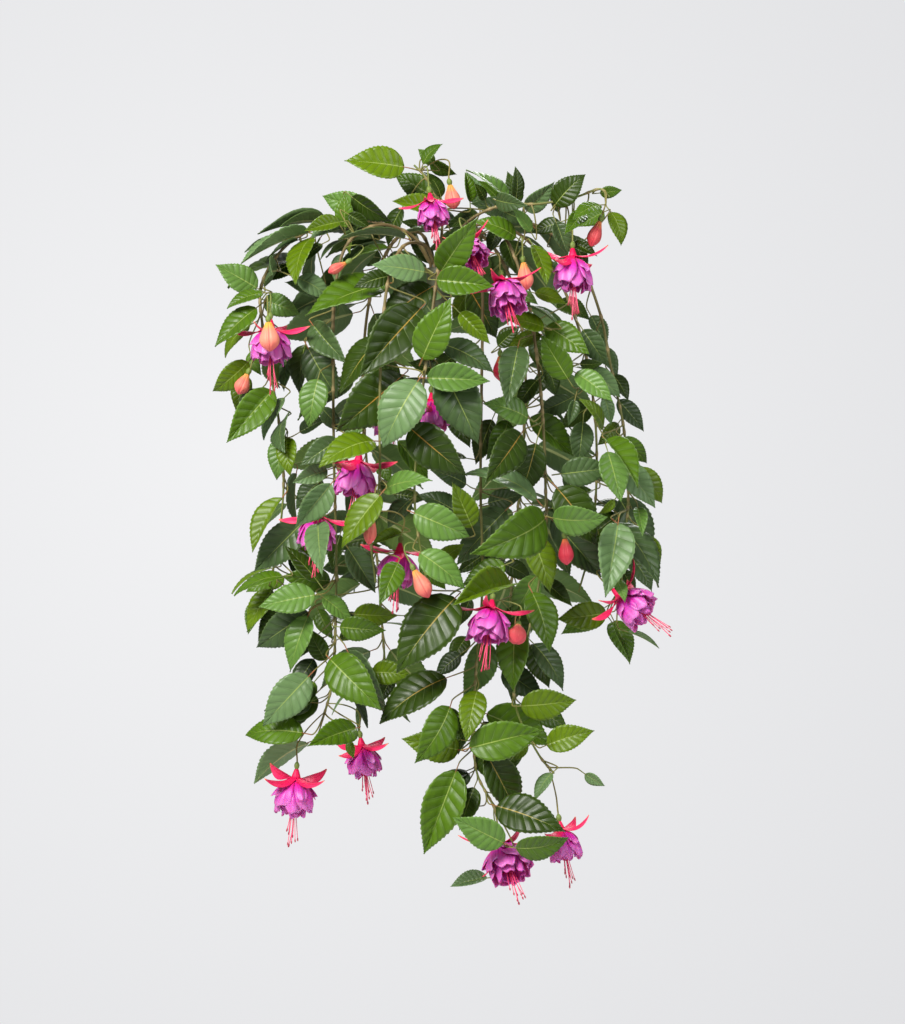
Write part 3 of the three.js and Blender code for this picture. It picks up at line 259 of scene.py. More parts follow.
# The name, the place in the ring of roots (or the bearing of an inner root), the route in mm,
# the leaves and their tones. A leaf is (x, z, x of the tip, z of the tip, y) and for some the
# roll: x and z are those of its base and tip as the eye in front sees them. A tone is a letter
# of TONES. DEPTH times a route's y is the stem's own y.
STEMS = (
    ("stem_left_long", 8, (
        (-26, -14, 92), (-60, -28, 103), (-92, -42, 82), (-104, -50, 30), (-105, -54, -50), (-104, -56, -140),
        (-102, -56, -220), (-103, -52, -300), (-106, -48, -350), (-116, -46, -388)),
     ((-95, 102, -95, 138, -25), (-100, 108, -135, 98, -31, -5), (-108, 104, -129, 91, -33, 10),
      (-92, 116, -69, 102, -28, 10), (-36, 92, -100, 87, -26, 50), (-52, 82, -95, 68, -23, 35),
      (-97, 90, -120, 68, -20), (-98, 76, -104, 46, -41, 10), (-55, 46, -133, 12, -44, 38),
      (-127, 5, -92, -35, -53), (-132, -18, -102, -68, -46), (-135, -15, -140, -67, -38, 20),
      (-122, -49, -131, -98, -62, -20), (-118, -78, -95, -102, -49, 10), (-102, -110, -140, -136, -79, -20),
      (-113, -140, -147, -153, -70, -15), (-109, -154, -145, -196, -112), (-122, -194, -115, -244, -98),
      (-137, -192, -187, -242, -66), (-122, -252, -157, -216, -72, 45), (-110, -251, -158, -246, -49, -25),
      (-117, -267, -88, -292, -59), (-125, -265, -181, -277, -71, -25), (-132, -282, -184, -318, -49, -25),
      (-132, -286, -150, -342, -59), (-115, -330, -132, -297, -62), (-100, -297, -54, -300, -69, 20),
      (-86, -284, -43, -286, -49, 30), (-110, -329, -58, -378, -75), (-92, -322, -50, -384, -49),
      (-68, -342, -28, -345, -54, 10), (-131, -346, -177, -396, -66, -25), (-126, -352, -154, -392, -48, 15),
      (-137, -403, -196, -407, -61), (-133, -413, -188, -456, -49, 60), (-84, -398, -129, -411, -59),
      (-91, -411, -86, -428, -66), (-94, -364, -108, -385, -54, 50)),
     "mogddmtgmttdlttgggtdmlltlmmomtogmmgmog"),
    ("stem_left_outer", 7, (
        (-30, 18, 96), (-72, 32, 112), (-116, 30, 108), (-155, 15, 85), (-178, -5, 45), (-176, -20, 0),
        (-168, -26, -45), (-160, -28, -90), (-155, -28, -150), (-160, -26, -210), (-168, -24, -250)),
     ((-72, 118, -118, 135, 12, -15), (-88, 133, -48, 108, -8, 45), (-142, 70, -215, 44, -4, 48),
      (-183, 42, -224, 65, -15), (-177, 37, -212, 21, -13, 20), (-176, 30, -139, 15, -21),
      (-142, 52, -109, 30, -30), (-130, 92, -142, 42, -11, 15), (-118, 86, -139, 64, -16, 10),
      (-132, 98, -197, 65, -3, 50), (-142, 90, -176, 69, -7, 35), (-184, 22, -224, -17, -25, -15),
      (-190, 5, -216, -27, -16, 10), (-192, -32, -228, -61, -33, -25), (-168, -61, -212, -113, -41, -38),
      (-156, -68, -176, -110, -28, 20), (-155, -107, -163, -150, -41, -20), (-153, -108, -149, -146, -36, 0),
      (-158, -168, -187, -222, -48, -10), (-168, -238, -208, -264, -30, 50),
      (-158, -246, -206, -266, -38, 45), (-168, -260, -193, -302, -36, -10)),
     "lddlmlgodgtmoomglooomo"),
    ("stem_front_left", 9, (
        (-16, -30, 83), (-36, -74, 78), (-50, -106, 42), (-56, -124, -20), (-58, -128, -90),
        (-58, -126, -150), (-66, -122, -205), (-62, -118, -250)),
     ((-15, 58, -68, 64, -82), (-50, 54, -86, 42, -75, 20), (-20, 21, -80, -48, -102),
      (-38, -46, -104, -102, -115), (-8, 43, -62, 0, -89), (2, 34, -25, 29, -82, 50),
      (-62, -8, -100, -64, -82, 20), (-66, -111, -120, -138, -116), (-42, -111, -12, -150, -113),
      (-55, -159, -7, -151, -123), (-22, -51, -57, -117, -123), (-60, -165, -98, -218, -126, 10),
      (-92, -218, -65, -263, -82), (-42, -233, -60, -274, -116), (-38, -203, -68, -214, -98, 20),
      (-75, -95, -98, -105, -74, 30), (-30, -170, -52, -198, -57, 10)),
     "gddddgdomlgotmolt"),
    ("stem_front", 0, (
        (5, -42, 84), (2, -92, 76), (-4, -126, 34), (-12, -142, -30), (-20, -144, -100), (-24, -140, -170),
        (-16, -134, -230), (-8, -128, -265)),
     ((1, 59, 37, 109, -104), (-3, 50, 54, 43, -116), (-18, -29, 11, 31, -125), (-13, -48, 50, -51, -130),
      (3, -14, 54, -43, -113), (20, 17, 50, -14, -103), (3, -42, 38, -114, -115), (-30, -98, 27, -146, -123),
      (-26, -183, 30, -207, -120), (32, -197, 12, -152, -105, -10), (20, -185, -22, -165, -82, 10),
      (15, -268, -43, -342, -112), (-20, -223, 25, -259, -107), (-2, -232, 24, -214, -90, 10)),
     "mmmltotdlotdlo"),
    ("stem_long_centre", 1, (
        (22, -24, 98), (38, -52, 88), (42, -72, 30), (41, -80, -60), (40, -84, -160), (42, -84, -250),
        (36, -84, -330), (33, -84, -390), (36, -84, -435), (50, -86, -464), (57, -88, -478)),
     ((30, 40, 57, -7, -79), (52, -90, 36, -134, -62, 15), (66, -180, 16, -236, -62, 10),
      (65, -235, 22, -256, -82), (71, -255, 13, -272, -97), (47, -311, 23, -368, -70),
      (6, -348, -60, -394, -85), (10, -377, -25, -432, -90), (19, -420, -38, -408, -70),
      (37, -361, 26, -410, -82), (47, -384, 114, -417, -70), (30, -418, 104, -401, -97),
      (86, -412, 74, -432, -74), (47, -425, 78, -488, -88), (16, -441, -16, -524, -87),
      (57, -476, 124, -499, -90, 10), (47, -548, 10, -557, -70, 58), (64, -513, 13, -486, -112, -20),
      (76, -518, 128, -508, -102, 15), (66, -487, 84, -497, -69, 20)),
     "ddtmoldmoommodmdglmd"),
    ("stem_long_right", 2, (
        (32, -12, 102), (62, -26, 94), (84, -40, 40), (96, -50, -30), (102, -58, -100), (104, -64, -160),
        (104, -70, -200), (92, -74, -280), (74, -76, -345), (76, -78, -378), (96, -78, -418),
        (112, -78, -438)),
     ((93, 85, 106, 43, -57), (95, 37, 126, 26, -49, -20), (80, 37, 98, 25, -54), (104, 3, 62, 12, -61, 20),
      (101, -6, 68, -18, -57, 20), (115, 8, 78, 26, -41, 45), (78, -17, 66, -78, -69),
      (108, -39, 116, -65, -46, 10), (97, -50, 78, -78, -51, 20), (88, -88, 43, -74, -75, -25),
      (81, -104, 44, -154, -80), (68, -91, 46, -130, -74, 10), (96, -114, 81, -167, -69),
      (97, -170, 25, -144, -90, 35), (105, -189, 30, -223, -85, -20), (117, -158, 156, -215, -75),
      (113, -188, 167, -187, -92, 42), (112, -190, 163, -248, -68), (90, -88, 134, -126, -60),
      (92, -206, 110, -262, -54, 15), (96, -246, 71, -288, -79), (92, -262, 109, -322, -72),
      (105, -252, 132, -276, -41, 10), (75, -295, 73, -362, -82), (94, -314, 123, -361, -61, 15),
      (63, -340, 104, -368, -49), (81, -376, 136, -370, -77, 25), (107, -415, 154, -400, -75),
      (112, -443, 95, -470, -66, 50), (145, -444, 165, -456, -66, 55)),
     "ooloottddldmdgmdltmolmdmttoogg"),
    ("stem_right", 3, (
        (40, 8, 102), (80, 8, 96), (118, 4, 52), (142, -4, -10), (154, -10, -80), (156, -14, -150),
        (150, -16, -215), (138, -18, -262)),
     ((107, 4, 149, -25, -49), (143, 0, 168, -36, -33, 30), (140, -34, 163, -33, -36, 50),
      (128, -49, 101, -5, -46), (150, -39, 181, -67, -30), (136, -43, 172, -72, -38, 25),
      (163, -98, 138, -70, -41), (131, -68, 98, -82, -43, -30), (135, -70, 128, -96, -49),
      (143, -92, 138, -134, -33), (121, -144, 172, -138, -46), (174, -170, 158, -184, -41),
      (175, -192, 162, -208, -36), (130, -142, 126, -160, -16, 20)),
     "mtdmglottttolt"),
    ("stem_right_outer", 4, (
        (46, 20, 106), (94, 28, 108), (136, 26, 76), (160, 16, 20), (172, 8, -40), (184, 0, -100),
        (188, -6, -165), (184, -10, -215), (180, -12, -262)),
     ((165, -68, 171, -95, -25, 30), (174, -80, 201, -104, -21, 35), (166, -110, 194, -158, -33),
      (178, -134, 215, -178, -36), (194, -140, 223, -173, -20, 15), (168, -122, 180, -172, -41, 42),
      (183, -108, 208, -133, -20), (180, -169, 212, -232, -22, 10), (177, -193, 217, -257, -44),
      (198, -178, 201, -206, -16, 20), (206, -207, 220, -236, -25, 15), (178, -194, 164, -266, -49, 15),
      (182, -240, 196, -262, -30, 15), (176, -250, 184, -272, -39), (166, -283, 117, -289, -25, -25),
      (174, -291, 190, -334, -14), (188, -302, 219, -318, -23, -50)),
     "ggmgolmttlogdlomg"),
    ("stem_back_right", 5, (
        (22, 40, 100), (52, 84, 92), (78, 112, 40), (88, 120, -40), (84, 118, -130), (76, 108, -220),
        (70, 96, -300)),
     (), ""),
    ("stem_back_left", 6, (
        (-20, 42, 100), (-48, 84, 94), (-72, 110, 40), (-80, 118, -40), (-76, 116, -130), (-66, 108, -220),
        (-58, 94, -320), (-52, 84, -390)),
     (), ""),
    ("stem_top_left", (150,), (
        (2, 4, 104), (-4, -2, 134), (-16, -8, 154), (-26, -10, 164)),
     ((-36, 163, -95, 168, -12, -10), (-2, 130, -46, 157, -8, 20), (1, 133, -16, 159, 16),
      (-17, 166, 3, 186, -10), (-6, 166, -22, 181, -6), (-10, 167, 17, 156, -4, 45),
      (-3, 119, -48, 128, -22, 35), (1, 102, -52, 123, -16, 20), (2, 100, -50, 92, -24, 30),
      (38, 116, 4, 102, -10, 30), (30, 128, 25, 158, -12), (-38, 122, -52, 85, -8, 20)),
     "omdmmmodddmd"),
    ("stem_top_right", (330,), (
        (24, -8, 104), (58, -20, 122), (100, -28, 124), (134, -32, 130), (158, -34, 138), (168, -36, 130)),
     ((68, 132, 26, 161, -30, 5), (76, 132, 75, 163, -24, -14), (87, 119, 114, 146, -30, 10),
      (115, 125, 145, 155, -25, 20), (160, 137, 182, 140, -30, 30), (171, 118, 181, 84, -28),
      (160, 125, 132, 108, -25, 35), (143, 117, 123, 92, -34, 10), (116, 108, 128, 74, -37),
      (120, 108, 92, 98, -22, 30), (118, 118, 108, 142, -15, 20), (134, 87, 157, 73, -32),
      (136, 84, 148, 61, -26, 20), (76, 93, 34, 108, -48, 10), (91, 98, 71, 123, -40, 20),
      (56, 130, 87, 121, -34, 45), (65, 118, 93, 108, -32, 50), (45, 130, 34, 146, -8, 10)),
     "ldgdmommtddddmlttd"),
)

# Stem, base, heading, pitch to the front, size, turn of the sepals, how far they curl back.
BLOOMS = (
    ("stem_left_outer", (-167, -52, 8), 178, 12, 1.0, 20, 0.9),
    ("stem_top_left", (-10, -47, 133), 172, 14, 0.78, 10, 0.6),
    ("stem_long_centre", (25, -97, 85), 160, 40, 0.8, 40, 0.6),
    ("stem_long_centre", (60, -98, 48), 168, 35, 0.95, 15, 0.7),
    ("stem_top_right", (131, -52, 78), 180, 10, 0.95, 30, 0.9),
    ("stem_left_long", (-78, -98, -124), 186, 12, 1.0, 25, 0.8),
    ("stem_left_long", (-118, -88, -178), 184, 10, 0.9, 0, 0.5),
    ("stem_front_left", (-38, -112, -212), 186, 6, 0.9, 0, 0.5),
    ("stem_long_centre", (51, -112, -267), 188, 25, 1.0, 10, 0.8),
    ("stem_right_outer", (170, -58, -258), 128, 20, 1.0, 25, 1.2),
    ("stem_left_long", (-141, -56, -435), 184, 5, 1.0, 45, 1.1),
    ("stem_left_long", (-78, -60, -404), 172, 5, 0.85, 40, 0.9),
    ("stem_long_centre", (58, -94, -500), 160, 45, 1.1, 52, 0.9),
    ("stem_long_right", (117, -84, -484), 170, 8, 0.85, 30, 1.3),
    ("stem_front", (-8, -104, -66), 178, 10, 0.8, 10, 0.6),
    ("stem_back_left", (-52, 146, -60), 180, -10, 0.95, 20, 0.9),
)

# Stem, base, heading, pitch to the front, length, width.
BUDS = (
    ("stem_top_left", (10, -10, 144), 170, 6, 25, 17),
    ("stem_top_right", (158, -44, 105), 200, 8, 27, 15),
    ("stem_long_right", (82, -78, 62), 174, 10, 28, 17),
    ("stem_left_long", (-92, -74, 62), 240, 10, 20, 11),
    ("stem_left_outer", (-190, -46, -46), 204, 6, 22, 16),
    ("stem_front_left", (-64, -154, -186), 188, 6, 28, 13),
    ("stem_front", (-24, -152, -238), 152, 10, 30, 18),
    ("stem_long_centre", (76, -118, -292), 188, 50, 24, 19),
    ("stem_long_right", (122, -92, -208), 176, 6, 26, 16),
    ("stem_back_right", (62, 146, -20), 180, -8, 26, 16),
    ("stem_back_left", (-100, 140, -120), 186, -8, 24, 15),
    ("stem_left_outer", (-167, -92, 3), 176, 6, 29, 21),
)


def draws(seed):
    """Even random draws from 0 to 1, the same in each run."""
    state = seed
    while True:
        state = (1664525 * state + 1013904223) % 4294967296
        yield state / 4294967296


def spot(x, y, z):
    return np.array((x, y, z), float)


def at(place):
    return spot(place[0], DEPTH * place[1], place[2])


def seen_at(x, z, y):
    """The place at depth y that the eye in front sees at x and z."""
    nearness = (y - EYE[1]) / -EYE[1]
    return spot(EYE[0] + (x - EYE[0]) * nearness, y, EYE[2] + (z - EYE[2]) * nearness)


def unit(vector):
    return vector / math.sqrt(vector @ vector)


def aimed(heading, pitch):
    """The way that a heading, clockwise from upwards as seen, and a pitch to the front give."""
    h, p = math.radians(heading), math.radians(pitch)
    return spot(math.sin(h) * math.cos(p), -math.sin(p), math.cos(h) * math.cos(p))


def whole(number):
    """The nearest whole number, a half going up."""
    return int(number + 0.5)


class Spline:
    """A smooth curve through points, with its length measured in even steps."""

    def __init__(self, points):
        self.stops = [2 * points[0] - points[1], *points, 2 * points[-1] - points[-2]]
        marks = [self.at(k / SPLINE_STEPS) for k in range(SPLINE_STEPS + 1)]
        self.lengths = np.cumsum([0, *(math.dist(a, b) for a, b in zip(marks, marks[1:]))])
        self.length = self.lengths[-1]

    def at(self, t):
        last = len(self.stops) - 3
        i = min(int(t * last), last - 1)
        f = t * last - i
        a, b, c, d = self.stops[i:i + 4]
        leave, arrive = (c - a) / 2, (d - b) / 2
        bow = 3 * (c - b) - 2 * leave - arrive
        return b + leave * f + bow * f ** 2 + (2 * (b - c) + leave + arrive) * f ** 3

    def along(self, share):
        return self.at(np.interp(share * self.length, self.lengths, np.linspace(0, 1, SPLINE_STEPS + 1)))


ROOM_FOR_SPOTS = 60000
GAP = 7
OWN_GAP = 6
TWIG_GAP = 5
AMPLE = 1.2


class Room:
    """The places already taken, so that leaves are laid clear of each other."""

    def __init__(self):
        self.spots = np.zeros((ROOM_FOR_SPOTS, 3))
        self.nodes, self.twigs = np.zeros((2, ROOM_FOR_SPOTS), int)
        self.count = 0
        self.numbers = {}

    def number(self, name):
        return self.numbers.setdefault(name, len(self.numbers) + 1)

    def claim(self, points, node, twig):
        end = self.count + len(points)
        self.spots[self.count:end] = np.reshape(points, (-1, 3))
        self.nodes[self.count:end] = self.number(node)
        self.twigs[self.count:end] = self.number(twig)
        self.count = end

    def clearance(self, points, node, twig, gap=GAP):
        """The smallest distance to what is taken, as a share of the gap that is wanted there."""
        if not len(points):
            return AMPLE
        points = np.asarray(points)
        spots = self.spots[:self.count]
        far = GAP * AMPLE
        near = (spots > points.min(0) - far).all(1) & (spots < points.max(0) + far).all(1)
        near &= self.twigs[:self.count] != self.number(twig)
        if not near.any():
            return AMPLE
        need = np.where(self.nodes[:self.count][near] == self.number(node), OWN_GAP, gap)
        gaps = np.sqrt(((points[:, None] - spots[near]) ** 2).sum(2))
        return min(AMPLE, float((gaps / need).min()))


def spaced(points, step):
    """Points about a step apart along straight lines from point to point."""
    out = []
    for a, b in zip(points, points[1:]):
        n = max(1, whole(math.dist(a, b) / step))
        out += [a + (b - a) * k / n for k in range(n)]
    return [*out, points[-1]]


class Stem:
    """One leafy stem: its curve, points along it, and what grows on it."""

    def __init__(self, name, place, route, leaves, tones):
        inner = isinstance(place, tuple)
        bearing = math.radians(place[0] if inner else 270 + ROOT_PITCH_DEG * place)
        ring = INNER_RING_RADIUS if inner else ROOT_RING_RADIUS
        x, y = ring * math.cos(bearing), ring * math.sin(bearing)
        self.name = name
        self.listed = tuple(zip(leaves, tones))
        self.root = spot(x, y, ROOT_FLOOR)
        self.curve = Spline([spot(x, y, STUB_HEIGHT + 4), *(at(p) for p in route)])
        n = whole(self.curve.length / CHAIN_STEP)
        chain = [self.curve.along(k / n) for k in range(n + 1)]
        self.points = [a + (b - a) * k / LINK_PARTS
                       for a, b in zip(chain, chain[1:]) for k in range(LINK_PARTS)]
        self.points.append(chain[-1])
        self.twigs = []
        self.pedicels = []

    def nearest(self, goal):
        """The place on the stem that is nearest to goal, and how far along the stem it is."""
        i = 2 + int(np.argmin([math.dist(p, goal) for p in self.points[2:-1]]))
        return self.points[i], i / (len(self.points) - 1)


ROOM_STEP = 5
CROWD_TOP = 110
CROWD_FLOOR = 40
CROWD_RADIUS = 20
room = Room()
stems = {row[0]: Stem(*row) for row in STEMS}
for stem in stems.values():
    # Near the stub the stems crowd, so leaves may lie close to them there.
    outside = [p for p in spaced(stem.points, ROOM_STEP)
               if p[2] < CROWD_TOP and (p[2] < CROWD_FLOOR or math.hypot(p[0], p[1]) > CROWD_RADIUS)]
    room.claim(outside, stem.name, stem.name)
for z in range(-40, STUB_HEIGHT + 1, 6):
    angles = [k * math.pi / 6 for k in range(12)]
    ring = [spot(STUB_HEAD_RADIUS * math.cos(a), STUB_HEAD_RADIUS * math.sin(a), z) for a in angles]
    room.claim(ring, "stub", "stub")

# Where each bloom and bud hangs: its axis, its thin stalk and the room that it takes.
BLOOM_ROOM = ((2, 3), (8, 4), (13, 8), (18, 16), (25, 20), (32, 20.5), (39, 19), (46, 14), (53, 4),
              (60, 5), (68, 5))
BUD_ROOM = ((0.1, 0.3), (0.35, 0.45), (0.6, 0.5), (0.85, 0.35), (1, 0.1))
SEPAL_LENGTH = 41
SEPAL_HALF_WIDTH = 5.8
SEPAL_ROOT_RADIUS = 2.3
SEPAL_ROOT_REACH = 8.5
SEPAL_LEAN = 1.38
OVARY_HEIGHT = 7
STALK_STRAIGHT = 14
STALK_RISE = 8


class Flower:
    """A bloom or a bud: the end of its ovary, its axis and two directions across it."""

    def __init__(self, name, stem, base, heading, pitch, size, spin=0, curl=0, width=0):
        self.name, self.stem, self.base = name, stems[stem], at(base)
        self.size, self.curl, self.width = size, curl, width
        self.axis = aimed(heading, pitch)
        s = math.radians(spin)
        seen = spot(0, 0, 1) if abs(self.axis[1]) > 0.9 else spot(0, -1, 0)
        one = unit(seen - self.axis * (seen @ self.axis))
        two = np.cross(self.axis, one)
        self.one = one * math.cos(s) + two * math.sin(s)
        self.two = two * math.cos(s) - one * math.sin(s)
        self.ovary = self.base - OVARY_HEIGHT * self.axis
        high = self.ovary - STALK_STRAIGHT * self.axis + spot(0, 0, STALK_RISE)
        root, share = self.stem.nearest(high)
        self.stem.pedicels.append((share, self))
        stalk = spaced([root, high, self.ovary, self.base], ROOM_STEP)
        room.claim(stalk[1:], self.stem.name, self.stem.name)

    def out(self, angle):
        return self.one * math.cos(angle) + self.two * math.sin(angle)

    def beside(self, radius, reach, angle):
        return self.base + self.axis * reach + self.out(angle) * radius

    def across(self, k):
        a = k * math.pi / 2
        return self.two * math.cos(a) - self.one * math.sin(a)

    def sepal(self, k, u, v, droop=0):
        """A point of sepal k: it springs from the tube's end and curls back towards the stem."""
        out = self.out(k * math.pi / 2)
        begin = SEPAL_LEAN + 0.18 * math.sin(3 * k + self.base[0]) - droop
        t = begin + self.curl * u
        along = (math.sin(t) - math.sin(begin)) / self.curl
        outward = (math.cos(begin) - math.cos(t)) / self.curl
        normal = out * math.cos(t) - self.axis * math.sin(t)
        point = self.base + self.axis * (SEPAL_ROOT_REACH + SEPAL_LENGTH * along) * self.size
        point = point + out * (SEPAL_ROOT_RADIUS + SEPAL_LENGTH * outward) * self.size
        point = point + np.cross(self.axis, out) * SEPAL_HALF_WIDTH * self.size * v
        return point - normal * 1.2 * self.size * v * v, normal


blooms = []
for i, (stem, base, heading, pitch, size, spin, curl) in enumerate(BLOOMS):
    flower = Flower(f"bloom_{i + 1:02d}", stem, base, heading, pitch, size, spin, curl)
    taken = []
    for reach, radius in BLOOM_ROOM:
        count = 16 if radius > 10 else 5
        taken += [flower.beside(radius * size, reach * size, k * 2 * math.pi / count) for k in range(count)]
    taken += [flower.sepal(k, u, v)[0] for k in range(4) for u in (0.25, 0.4, 0.55, 0.7, 0.85, 1)
              for v in (-0.8, 0, 0.8)]
    room.claim(taken, flower.name, flower.name)
    blooms.append(flower)
buds = []
for i, (stem, base, heading, pitch, length, width) in enumerate(BUDS):
    flower = Flower(f"bud_{i + 1:02d}", stem, base, heading, pitch, length, width=width)
    taken = [flower.beside(radius * width, reach * length, k * math.pi / 3)
             for k in range(6) for reach, radius in BUD_ROOM]
    room.claim(taken, flower.name, flower.name)
    buds.append(flower)

# Where each leaf lies: the first clear place out of a few tries, on a twig of its own.
# A leaf has one of five pressed forms: bend from base to tip, rise of the halves, twist
# round the midrib, and width for its length. Each try adds to the leaf's pitch and roll.
FORMS = ((0.35, 0.12, 0.0, 0.54), (0.8, 0.1, 0.15, 0.52), (1.1, 0.06, -0.12, 0.55),
         (0.35, 0.5, 0.1, 0.52), (0.55, 0.2, -0.45, 0.52))
SHIFTS = (0, -9, 9, -18, 18, -27, 27)
TRIES = ((0, 0), (15, 0), (-15, 0), (0, 25), (0, -25), (30, 0), (-30, 0), (20, 25), (20, -25),
         (-20, 25), (-20, -25), (42, 0))
CLEAR_ENOUGH = 0.7
SAMPLE_STEP = 7
NOD = 22
ROCK = 22


def on_blade(form, u, v, chord, first, lift, side, base):
    """Points of a leaf's surface, u from base to tip and v across, and the way they face."""
    bend, fold, twist, wide = FORMS[form]
    u, v = np.asarray(u, float)[..., None], np.asarray(v, float)[..., None]
    a = bend * u
    radius = chord * (bend / 2) / math.sin(bend / 2) / bend
    facing = lift * np.cos(a) + first * np.sin(a)
    across = side * np.cos(twist * u) + facing * np.sin(twist * u)
    up = facing * np.cos(twist * u) - side * np.sin(twist * u)
    width = 0.5 * wide * chord * v
    spine = base + first * radius * np.sin(a) - lift * radius * (1 - np.cos(a))
    return spine + across * width * math.cos(fold) + up * np.abs(width) * math.sin(fold), up


class Leaf:
    """A leaf's form, length and place: first runs along its base, lift is the way it faces there."""

    tone = ""
    fill = False

    def __init__(self, heading, pitch, roll, face, form, start, length):
        along, r, half = aimed(heading, pitch), math.radians(roll), FORMS[form][0] / 2
        flat = unit(face - along * (face @ along))
        normal = flat * math.cos(r) + np.cross(along, flat) * math.sin(r)
        self.form, self.length = form, length
        self.first = along * math.cos(half) + normal * math.sin(half)
        self.lift = normal * math.cos(half) - along * math.sin(half)
        self.side = np.cross(self.first, self.lift)
        self.base = start
        self.foot = start - self.first * STALK

    def samples(self):
        """Points all over the blade, five across, for finding its room."""
        u = np.linspace(0, 1, max(4, whole(self.length / SAMPLE_STEP)) + 1)
        w = np.where(u < 0.35, 0.5 + 0.5 * u / 0.35, 1 - np.clip((u - 0.35) / 0.65, 0, 1) ** 1.6)
        v = w[:, None] * np.array((-1, -0.5, 0, 0.5, 1))
        u = np.repeat(u[:, None], 5, 1)
        points, _ = on_blade(self.form, u, v, self.length, self.first, self.lift, self.side, self.base)
        return points.reshape(-1, 3)


pick = draws(41)
leaf_numbers = itertools.count(1)


def chances():
    return [next(pick) for _ in range(3)]


def place_leaf(stem, base, heading, length, face, roll=None, lean=0, way=None, as_seen=False, luck=None,
               ease=1.0, fits=None, shifts=SHIFTS, tries=TRIES):
    """Lay a leaf where it is clear; a length as seen from the front is foreshortened."""
    own = f"leaf_{next(leaf_numbers)}"
    kind, nod, rock = luck or chances()
    best = None
    for shift in shifts:
        start = base + (face if way is None else way) * shift
        for dp, dr in tries:
            pitch = lean - 4 + NOD * nod + dp
            reach = length / math.cos(math.radians(pitch)) if as_seen else length
            tilt = (-ROCK + 2 * ROCK * rock if roll is None else roll) + dr
            leaf = Leaf(heading, pitch, tilt, face, int(kind * len(FORMS)), start, reach)
            leaf.slant = length / reach
            root, leaf.share = stem.nearest(leaf.foot + spot(0, 0, 14))
            leaf.twig = spaced([root, leaf.foot], ROOM_STEP)
            samples = leaf.samples()
            leaf.clear = 0
            if not fits or fits(samples):
                leaf.clear = min(room.clearance(samples, stem.name, own),
                                 room.clearance(leaf.twig[2:], stem.name, stem.name, TWIG_GAP)) / ease
            if best is None or leaf.clear > best.clear + 1e-9:
                best = leaf
            if leaf.clear >= 1:
                break
        if best.clear >= 1:
            break
    if best.clear > CLEAR_ENOUGH:
        room.claim(best.samples(), stem.name, own)
        room.claim(best.twig[1:], stem.name, stem.name)
        stem.twigs.append(best)
    return best


# The listed leaves, those nearest to the eye first.
listed = [(stem, *leaf, chances(), next(pick) - 0.5) for stem in stems.values() for leaf in stem.listed]
for stem, (x, z, tip_x, tip_z, y, *roll), tone, luck, turn in sorted(listed, key=lambda item: item[1][4]):
    base = seen_at(x, z, y)
    heading = math.degrees(math.atan2(tip_x - x, tip_z - z))
    length = math.hypot(tip_x - x, tip_z - z) * (y - EYE[1]) / -EYE[1]
    face = unit(spot(base[0] / 300 + 0.5 * turn, -1, 0.35))
    leaf = place_leaf(stem, base, heading, length, face, roll=roll[0] if roll else None,
                      way=unit(spot(*EYE) - base), as_seen=True, luck=luck)
    leaf.tone = tone

# The stems at the back carry a pair of leaves at even steps, by rule.
BACK_START, BACK_STEP, BACK_LENGTH = 100, 70, 88
for name in ("stem_back_right", "stem_back_left"):
    stem = stems[name]
    for s in range(BACK_START, math.ceil(stem.curve.length - 6), BACK_STEP):
        here = stem.curve.along(s / stem.curve.length)
        out = unit(spot(here[0], here[1], 0))
        across = spot(-out[1], out[0], 0)
        for hand in (-1, 1):
            tip = here + across * hand * (10 + 8 * next(pick)) + out * 10 + spot(0, 0, -4)
            heading = math.copysign(105 + 55 * next(pick), hand * across[0])
            reach = BACK_LENGTH * (0.8 + 0.3 * next(pick)) * (1 - 0.25 * s / stem.curve.length)
            place_leaf(stem, tip, heading, reach, unit(spot(out[0], out[1], 0.35)))

# The outermost stems also carry leaves that face sideways, forwards and back by turns.
SIDE_STEP, SIDE_LENGTH = 66, 68
for name, start in (("stem_left_outer", 150), ("stem_right_outer", 282)):
    stem = stems[name]
    hand = 1
    for s in range(start, math.ceil(stem.curve.length), SIDE_STEP):
        here = stem.curve.along(s / stem.curve.length)
        side = math.copysign(1, here[0])
        reach = SIDE_LENGTH * (0.8 + 0.3 * next(pick))
        lean = -hand * (35 + 20 * next(pick))
        tip = here + spot(-12 * side, 14 * hand, -6)
        place_leaf(stem, tip, 180, reach, unit(spot(side, 0, 0.35)), lean=lean, way=spot(0, 0, 1))
        hand = -hand

